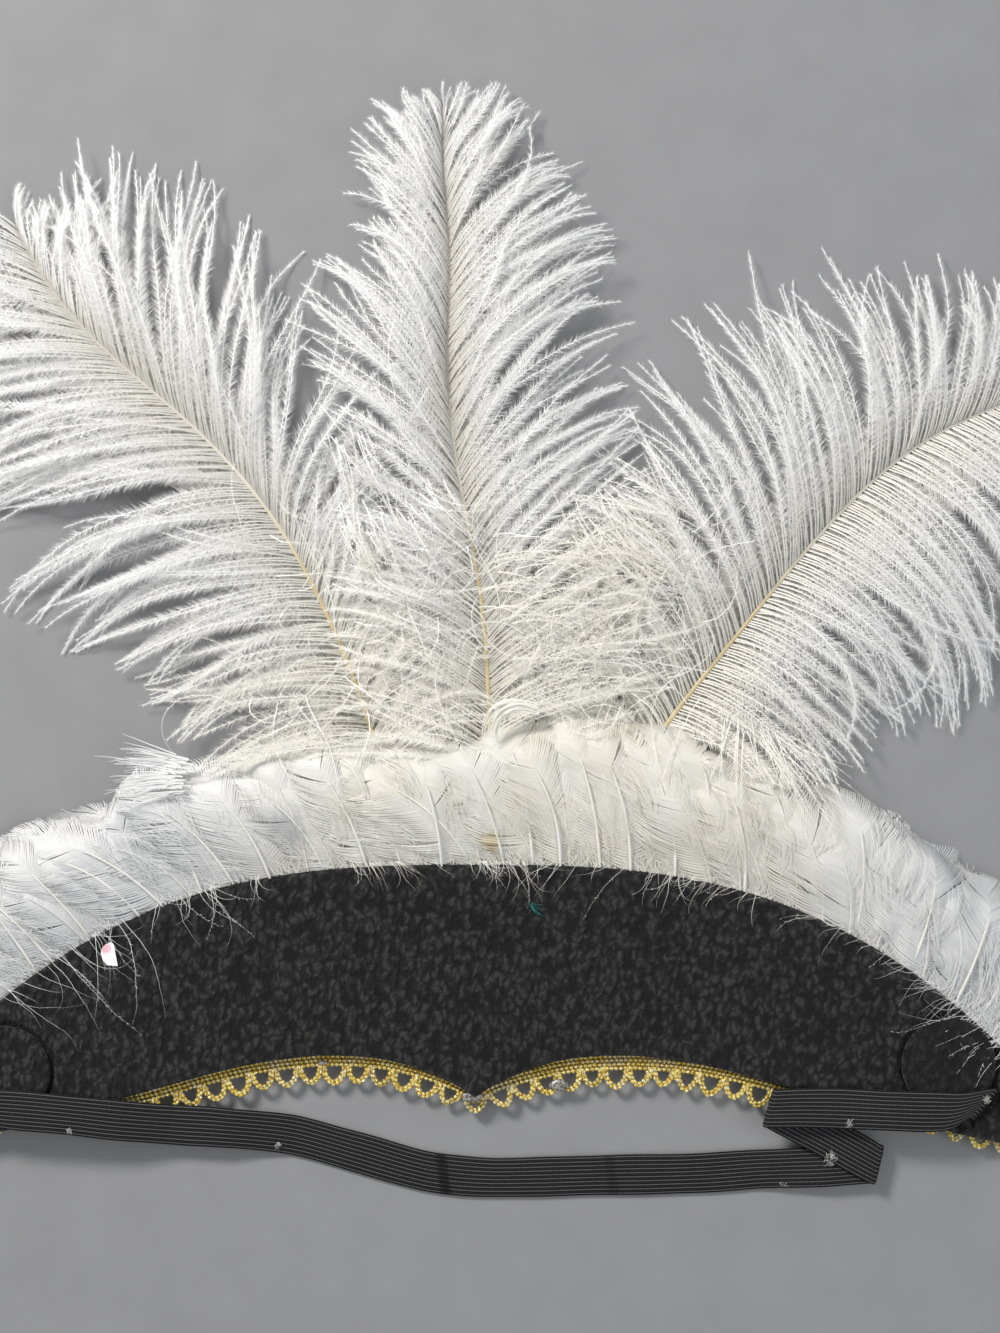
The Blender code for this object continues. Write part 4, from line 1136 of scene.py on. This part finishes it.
# Elastic strap
# A flat black elastic with ten ribs. Each end goes down through a slit and is turned back under the panel.
# Near its right end it is folded back and forward again in a flat Z.
STRAP_WIDTH, STRAP_THICKNESS, FOLD_PITCH, DIVE_RADIUS = 0.0108, 0.0010, 0.0013, 0.0009
RIBS = 10
CREASE_SHADOWS = ((443, 0.75), (612, 0.35))  # photo pixels across, how dark
PATCH_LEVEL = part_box("end_patch_left")[1].z + 0.0008
PANEL_LEVEL = PANEL_TOP + 0.0008
BRAID_LEVEL = SEAM_TOP + 0.0008
STRAP_LOWER = (  # across, up, height, degrees of the line across it
    (-0.779, -0.036, PATCH_LEVEL, 105), (-0.680, -0.058, PATCH_LEVEL, 86), (-0.576, -0.090, PANEL_LEVEL, 84),
    (-0.492, -0.113, BRAID_LEVEL, 85), (-0.408, -0.128, BRAID_LEVEL, 84), (-0.298, -0.165, 0.0006, 78),
    (-0.200, -0.234, 0.0006, 72), (-0.087, -0.318, 0.0006, 78), (-0.024, -0.342, 0.0006, 84),
    (0.040, -0.350, 0.0006, 90), (0.202, -0.340, 0.0006, 91), (0.363, -0.331, 0.0006, 92),
    (0.460, -0.314, 0.0006, 93), (0.573, -0.299, BRAID_LEVEL - FOLD_PITCH, 87),
    (0.651, -0.286, BRAID_LEVEL - FOLD_PITCH, 77),
)
STRAP_BACK = (
    (0.651, -0.286, BRAID_LEVEL, 77), (0.613, -0.230, BRAID_LEVEL, 66), (0.573, -0.172, BRAID_LEVEL, 60),
    (0.524, -0.104, BRAID_LEVEL, 64), (0.479, -0.039, PANEL_LEVEL - FOLD_PITCH, 74),
)
STRAP_UPPER = (
    (0.479, -0.039, PANEL_LEVEL, 74), (0.524, -0.036, PANEL_LEVEL, 84), (0.588, -0.038, PANEL_LEVEL, 88),
    (0.668, -0.045, PATCH_LEVEL, 88), (0.734, -0.050, PATCH_LEVEL, 84), (0.779, -0.046, PATCH_LEVEL, 68),
)


def strap_run(table, first=None, last=None):
    """Stations about 1 mm apart along one flat run: the middle of the strap and the line across it."""
    rows = np.array([[*panel_place(a, u), height, angle] for a, u, height, angle in table])
    rows = np.array([row for row in (first, *rows, last) if row is not None])
    runs = np.concatenate([[0.0], np.cumsum(np.linalg.norm(np.diff(rows[:, :2], axis=0), axis=1))])
    fine = np.linspace(0, runs[-1], int(runs[-1] / 0.0014) + 2)
    rows = np.column_stack([runs, rows])
    level = [smooth(rows, fine, 1), smooth(rows, fine, 2), np.interp(fine, runs, rows[:, 3])]
    angle = np.radians(smooth(rows, fine, 4))
    return np.stack(level, axis=1), np.stack([np.cos(angle), np.sin(angle), 0 * angle], axis=1)


def strap_fold(middle, across, forward):
    """Half a turn up about the line across the strap, to the layer above. forward is +1 or -1 along +X."""
    turn = np.linspace(0, np.pi, 12)[1:-1, None]
    way = forward * np.array([across[1], -across[0], 0])
    shift = way * FOLD_PITCH / 2 * np.sin(turn) + np.array([0, 0, FOLD_PITCH / 2]) * (1 - np.cos(turn))
    return middle + shift, np.repeat(across[None], len(turn), axis=0)


def strap_dive(slit, way):
    """The strap's end: a quarter turn down into its slit, a quarter turn back, a flat tail under the panel."""
    across, up, angle = slit
    line = np.array([np.cos(np.radians(angle)), np.sin(np.radians(angle)), 0])
    way = way * np.array([line[1], -line[0], 0])
    down = np.array([0, 0, -1.0])
    middle = np.array([*panel_place(across, up), 0])
    turn = np.linspace(0, np.pi / 2, 7)[:, None]
    start = middle - way * DIVE_RADIUS + np.array([0, 0, PATCH_LEVEL])
    foot = middle + np.array([0, 0, 0.0017 + DIVE_RADIUS])
    bend = start + way * DIVE_RADIUS * np.sin(turn) + down * DIVE_RADIUS * (1 - np.cos(turn))
    under = foot + way * DIVE_RADIUS * (1 - np.cos(turn)) + down * DIVE_RADIUS * np.sin(turn)
    tail = under[-1] + way * np.linspace(0, 0.007, 7)[1:, None]
    path = np.concatenate([bend[1:], under, tail])
    return [*start, angle], path, np.repeat(line[None], len(path), axis=0)


left_start, left_path, left_across = strap_dive(SLITS[0], -1)
right_start, right_path, right_across = strap_dive(SLITS[1], 1)
lower_path, lower_across = strap_run(STRAP_LOWER, first=left_start)
back_path, back_across = strap_run(STRAP_BACK)
upper_path, upper_across = strap_run(STRAP_UPPER, last=right_start)
fold_one, fold_one_across = strap_fold(lower_path[-1], lower_across[-1], 1)
fold_two, fold_two_across = strap_fold(back_path[-1], back_across[-1], -1)
middle = np.concatenate([left_path[::-1], lower_path, fold_one, back_path, fold_two, upper_path, right_path])
across = np.concatenate(
    [left_across, lower_across, fold_one_across, back_across, fold_two_across, upper_across, right_across]
)
middle_line = middle
along = unit(np.gradient(middle, axis=0))
normal = unit(np.cross(along, across))
runs = np.concatenate([[0.0], np.cumsum(np.linalg.norm(np.diff(middle, axis=0), axis=1))])
share = np.linspace(0, 1, 2 * RIBS + 1)
side = (share - 0.5) * STRAP_WIDTH
edge = np.sqrt(1 - np.clip(np.abs(2 * share - 1), 0, 0.998) ** 10)
half = STRAP_THICKNESS / 2 * edge * (0.86 - 0.10 * np.cos(2 * np.pi * RIBS * share))
wave = 1 + 0.012 * np.sin(runs * 260) + 0.010 * np.sin(runs * 97 + 1)
across_shift = across[None] * side[:, None, None] * wave[None, :, None]
upper = middle[None] + across_shift + normal[None] * half[:, None, None]
lower = middle[None] + across_shift - normal[None] * half[:, None, None]
spot = np.stack(np.broadcast_arrays(runs[None] / STRAP_WIDTH, share[:, None]), axis=-1).reshape(-1, 2)
elastic, paint, link = new_finish("black_elastic", 0.65, Specular_IOR_Level=0.18)
weave = paint.chart("weave")
run, cross = paint.split(weave)
# The light lines along the rib crests are painted highlights; noise and the knit's wave vary their brightness
# along the strap.
rib = paint.math("ABSOLUTE", paint.math("FRACT", cross * RIBS) - 0.5)
pair = (1 - paint.steps(rib, 0.07, 0.17)) + 0.28 * paint.steps(rib, 0.42, 0.48)
stitch = paint.math("SINE", run * 110.0) * 0.22 + 0.78
highlight_noise = paint.noise(paint.node("Mapping", None, {"Vector": weave, "Scale": (3.0, 60.0, 1.0)}), 6.0, 4.0, 0.7)
highlight_tone = paint.blend(paint.steps(highlight_noise, 0.36, 0.66), (0.055, 0.055, 0.056), (0.235, 0.232, 0.228))
tone = paint.blend(pair * stitch, (0.0040, 0.0040, 0.0045), highlight_tone)
level_x, _ = paint.split(paint.here())
# Two creases across the strap are painted as dark lines of shade.
for down_strap, strong in CREASE_SHADOWS:
    beside = paint.math("ABSOLUTE", level_x - float(photo_place(down_strap, 0)[0]) + (cross - 0.5) * 0.0015)
    tone = paint.blend((1 - paint.steps(beside, 0.0006, 0.0022)) * strong, tone, (0.003, 0.003, 0.003))
link(
    Base_Color=tone,
    Normal=paint.node("Bump", None, {"Strength": 0.5, "Distance": 0.0003, "Height": pair * stitch}),
)
strap_places, strap_faces = closed_sheet(upper, lower)
strap = new_piece("ribbed_elastic", strap_places, [strap_faces], elastic)
add_map(strap, "weave", np.concatenate([spot, spot]))
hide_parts("elastic_strap")

# Gold picot braid
# A woven heading of gold metallic thread with a row of loops below it, sewn under the panel's lower edge on
# the
# front. The heading shows as rows of small bright beads of thread, the loops as rings of two beaded cords.
BRAID_END = 0.92
LOOP_PITCH, LOOP_HEIGHT = 0.0066, 0.0054
BEAD = 0.0013
low_points, low_tangents, braid_length = edge_path(0, BRAID_END, 2400)
low_out = np.stack([low_tangents[:, 1], -low_tangents[:, 0]], axis=1)
loops = round(braid_length / LOOP_PITCH)
SHOWN = (  # photo pixels across, metres of the heading that show below the edge
    (-400, -0.0045), (0, -0.0042), (60, -0.0020), (112, 0.0019), (200, 0.0021), (300, 0.0024), (400, 0.0021),
    (475, 0.0010), (540, 0.0030), (610, 0.0035), (670, 0.0028), (740, 0.0019), (800, 0.0012), (870, -0.0028),
    (940, -0.0030), (1000, -0.0026), (1400, -0.0026),
)
shown_at = [(photo_place(a, 0)[0], m) for a, m in SHOWN]
rng = np.random.default_rng(8)


def braid_line(offset, steps):
    """A line beside the lower edge, offset outward from where the heading shows."""
    at = np.linspace(0, 1, steps) * (len(low_points) - 1)
    k = np.arange(len(low_points))
    point = np.stack([np.interp(at, k, low_points[:, j]) for j in (0, 1)], axis=1)
    out = unit(np.stack([np.interp(at, k, low_out[:, j]) for j in (0, 1)], axis=1))
    return point + out * (smooth(shown_at, point[:, 0]) + offset)[:, None], out


def beaded(paths, thin, thick, sides, shift=0.0):
    """Cords that swell once a bead. Gives places, quads and, for each place, the beads along its cord."""
    step = np.linalg.norm(np.diff(paths, axis=1), axis=2)
    beads = np.concatenate([np.zeros((len(paths), 1)), np.cumsum(step, axis=1)], axis=1) / BEAD + shift
    radius = thin + (thick - thin) * np.abs(np.sin(np.pi * beads)) * rng.uniform(0.8, 1.2, beads.shape)
    radius[:, [0, -1]] *= 0.1
    places, quads = tubes(paths, radius, sides)
    return places, quads, np.repeat(beads.ravel(), sides)


loops -= 1 - loops % 2
centres, outs = braid_line(0.0, 2 * loops + 1)
root, out = centres[1::2], outs[1::2]
side = np.stack([-out[:, 1], out[:, 0]], axis=1)
bow = np.linspace(-np.pi / 2, np.pi / 2, 46)
size = rng.normal(1.0, 0.05, (loops, 1, 1))
pinch = rng.uniform(0.02, 0.14, (loops, 1, 1))
tip = np.clip(np.cos(bow), 0, 1)[None, :, None]
at_peak = np.exp(-(((root[:, 0] - peak[0]) / 0.002) ** 2))[:, None, None]
cords = []
for wide, tall in ((0.44, 1.0), (0.35, 0.87)):
    swing = np.sin(bow)[None, :, None] * (1 - pinch * 1.6 * tip ** 3)
    ring = side[:, None] * swing * LOOP_PITCH * wide * size
    fall = (tip ** 0.62 * (1 - pinch * 0.6) + pinch * tip ** 6) * tall - 0.05
    level = root[:, None] + ring + out[:, None] * (fall * LOOP_HEIGHT * size - at_peak * 0.0024)
    height = SEAM_TOP - 0.0006 + rng.normal(0, 0.00012, (loops, 1, 1))
    cords.append(raised(level, height))
loop_places, loop_faces, loop_beads = beaded(np.concatenate(cords), 0.00036, 0.00060, 5)
gold, paint, link = new_finish("gold_metal_thread", 0.34, Metallic=0.60)
where = paint.here()
flecks_and_glints = paint.noise(where, 1250.0, 3.0, 0.7)
worn = paint.noise(where, 160.0, 2.0)
# The tone paints light and shade: dark brown shade and near-white glints at the two ends of the noise, round the
# thread's gold.
tone = paint.ramp(
    flecks_and_glints, (0.32, (0.24, 0.13, 0.02)), (0.43, (0.76, 0.53, 0.09)), (0.54, (1.0, 0.83, 0.25)), (
        0.64, (1.0, 1.0, 0.86)
    )
)
tone = paint.blend(paint.steps(worn, 0.56, 0.70) * 0.45, tone, (0.78, 0.74, 0.62))
bead, _ = paint.split(paint.chart("beads"))
# Dark brown painted shade in the gaps between the beads.
bead_gap_shade = paint.math("ABSOLUTE", paint.math("FRACT", bead) - 0.5)
tone = paint.blend(paint.steps(bead_gap_shade, 0.26, 0.47) * 0.75, tone, (0.22, 0.13, 0.02))
shine = paint.ramp(flecks_and_glints, (0.35, (0.50, 0.50, 0.50)), (0.7, (0.22, 0.22, 0.22)))
bumps = paint.node("Bump", None, {"Strength": 1.0, "Distance": 0.0006, "Height": flecks_and_glints})
link(Base_Color=tone, Roughness=shine, Normal=bumps)
picot = new_piece("picot_loops", loop_places, [loop_faces], gold)
add_map(picot, "beads", np.stack([loop_beads, loop_beads], axis=1))
rows = []
for offset in (0.0002, -0.0009, -0.0020, -0.0031):
    line, _ = braid_line(offset, 1300)
    rows.append(raised(line, SEAM_TOP - 0.0003))
shift = np.array([[0.0], [0.5], [0.0], [0.5]])
row_places, row_faces, row_beads = beaded(np.stack(rows), 0.00034, 0.00064, 4, shift)
inner, _ = braid_line(-0.0030, 500)
outer, _ = braid_line(0.0, 500)
grid = np.stack([outer, inner])
upper = raised(grid, SEAM_TOP - 0.0007)
lower = raised(grid, SEAM_TOP - 0.0011)
strip_places, strip_faces = closed_sheet(upper, lower, first=len(row_places))
joint, joint_out = braid_line(0.0, 2 * loops + 1)
joint, joint_out = joint[::2], joint_out[::2]
drop = np.linspace(-0.0004, 0.0030, 7)
path = joint[:, None] + joint_out[:, None] * drop[None, :, None]
path = raised(path, SEAM_TOP - 0.0004)
radius = np.array([0.0002, 0.0008, 0.00105, 0.0008, 0.0005, 0.0003, 0.00005]) * np.ones((len(path), 1))
knot_places, knot_faces = tubes(path, radius * rng.normal(1, 0.1, (len(path), 1)), 7)
knot_places[:, 2] = SEAM_TOP - 0.0004 + (knot_places[:, 2] - SEAM_TOP + 0.0004) * 0.6
knots = new_piece("braid_knots", knot_places, [knot_faces], gold)
heading = new_piece(
    "braid_heading", np.concatenate([row_places, strip_places]), [row_faces, strip_faces], gold
)
heading_beads = np.concatenate([row_beads, np.full(len(strip_places), 0.05)])
add_map(heading, "beads", np.stack([heading_beads, heading_beads], axis=1))
knot_beads = knot_places[:, 0] / BEAD
add_map(knots, "beads", np.stack([knot_beads, knot_beads], axis=1))
for piece in (picot, heading, knots):
    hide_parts("picot_braid")

# Glue, lint and scraps
# Clear glue shows at the braid's peak and on some loops. Lint sticks to the strap, and a scrap of sticker
# and a
# teal fibre to the fleece.


def blob(name, spot, height, size, seed, finish):
    """A flattened, uneven ball at a photo pixel."""
    turn, rise = np.linspace(0, 2 * np.pi, 19)[:-1], np.linspace(0.02, np.pi - 0.02, 10)
    ball = np.stack([
        np.sin(rise)[:, None] * np.cos(turn)[None], np.sin(rise)[:, None] * np.sin(turn)[None],
        np.repeat(np.cos(rise)[:, None], len(turn), axis=1),
    ], axis=-1)
    ball *= (1 + 0.10 * ripple(ball * 0.01, 0.012, seed))[..., None]
    index = np.arange(ball.shape[0] * len(turn)).reshape(ball.shape[:2])
    after = np.roll(index, -1, axis=1)
    face = np.stack([index[:-1], index[1:], after[1:], after[:-1]], axis=-1).reshape(-1, 4)
    places = ball.reshape(-1, 3) * size + [*photo_place(*spot), height]
    return new_piece(name, places, [face, index[0][None], index[-1][None, ::-1]], finish)


glue, paint, link = new_finish("clear_glue", 0.18, Specular_IOR_Level=0.6)
link(
    Base_Color=paint.ramp(
        paint.noise(paint.here(), 1500.0), (0.4, (0.10, 0.09, 0.08)), (0.65, (0.45, 0.43, 0.40))
    )
)
GLUE = (  # name, photo pixel, height, half size in metres, seed
    ("glue_at_peak", (473, 1098), SEAM_TOP + 0.0012, (0.0028, 0.0015, 0.0009), 1),
    ("glue_on_loops", (560, 1086), SEAM_TOP + 0.0001, (0.0026, 0.0015, 0.0009), 2),
    ("glue_on_arch", (322, 1064), SEAM_TOP + 0.0002, (0.0012, 0.0007, 0.0006), 3),
)
for name, spot, height, size, seed in GLUE:
    drop = blob(name, spot, height, size, seed, glue)
scrap, paint, link = new_finish("sticker_scrap", 0.45)
where = paint.here()
spot = (*photo_place(106, 948), PANEL_TOP + 0.0006)
away = paint.apart(where, spot)
link(Base_Color=paint.blend(paint.steps(away, 0.0008, 0.0019), (0.86, 0.50, 0.56), (0.95, 0.93, 0.93)))
SCRAP = (
    (111, 942), (106, 944), (102, 948), (101, 953), (103, 960), (107, 965), (118, 966), (116, 955), (114, 944)
)
bow = np.stack(photo_place(*np.array(SCRAP, float).T), axis=1)
top = np.concatenate([bow, np.full((len(bow), 1), PANEL_TOP + 0.0006)], axis=1)
size = len(top)
ahead = np.roll(np.arange(size), -1)
wall = np.stack([np.arange(size), ahead, ahead + size, np.arange(size) + size], axis=1)[:, ::-1]
label = new_piece(
    "sticker_scrap", np.concatenate([top, top - [0, 0, 0.0002]]),
    [np.arange(size)[None, ::-1], np.arange(size)[None] + size, wall[:, ::-1]], scrap, shade_smooth=False,
)
teal, paint, link = new_finish("teal_fibre", 0.8)
link(
    Base_Color=paint.ramp(
        paint.noise(paint.here(), 900.0), (0.4, (0.01, 0.10, 0.10)), (0.6, (0.02, 0.24, 0.23))
    )
)
foot = np.stack(photo_place(rng.normal(530, 1.2, 7), rng.normal(903, 1.2, 7)), axis=1)
level = hairs(
    foot, rng.normal(-2.4, 0.15, 7), rng.uniform(0.003, 0.0058, 7), rng.normal(0.5, 0.2, 7), 0.05, 9, rng
)
path = raised(level, PANEL_TOP + 0.0005)
strands, quads = tubes(path, 0.00010 * np.sin(np.linspace(0.1, 3.04, 9))[None] * np.ones((7, 1)), 4)
fibre = new_piece("teal_fibre", strands, [quads], teal)
LINT = (  # photo pixels across and down, hairs, longest in metres
    (832, 1160, 80, 0.0022), (848, 1122, 24, 0.0014), (785, 1186, 8, 0.0014), (70, 1130, 30, 0.0010),
    (986, 1098, 34, 0.0013), (277, 1148, 24, 0.0012),
)
white, paint, link = new_finish("white_lint", 0.9)
link(
    Base_Color=paint.ramp(
        paint.noise(paint.here(), 900.0), (0.4, (0.45, 0.44, 0.42)), (0.6, (0.70, 0.69, 0.66))
    )
)
lint, which = each_hair(LINT, 2)
reach = lint[which, 3]
across, down = (rng.normal(lint[which, k], reach * 1000) for k in (0, 1))
level = hairs(
    np.stack(photo_place(across, down), axis=1), rng.uniform(0, 6.3, len(which)),
    reach * rng.uniform(0.4, 1.0, len(which)), rng.normal(0, 2.0, len(which)), 0.3, 6, rng,
)
away = ((level.reshape(-1, 1, 2) - middle_line[None, :, :2]) ** 2).sum(-1) - middle_line[None, :, 2] * 0.002
height = middle_line[np.argmin(away, axis=1), 2].reshape(level.shape[:2]).max(axis=1, keepdims=True)
height = height + 0.0009 + rng.uniform(0, 0.0006, (len(which), 1))
path = raised(level, height[..., None])
strands, quads = tubes(path, 0.00008 * np.sin(np.linspace(0.1, 3.04, 6))[None] * np.ones((len(which), 1)), 3)
specks = new_piece("lint_on_strap", strands, [quads], white)
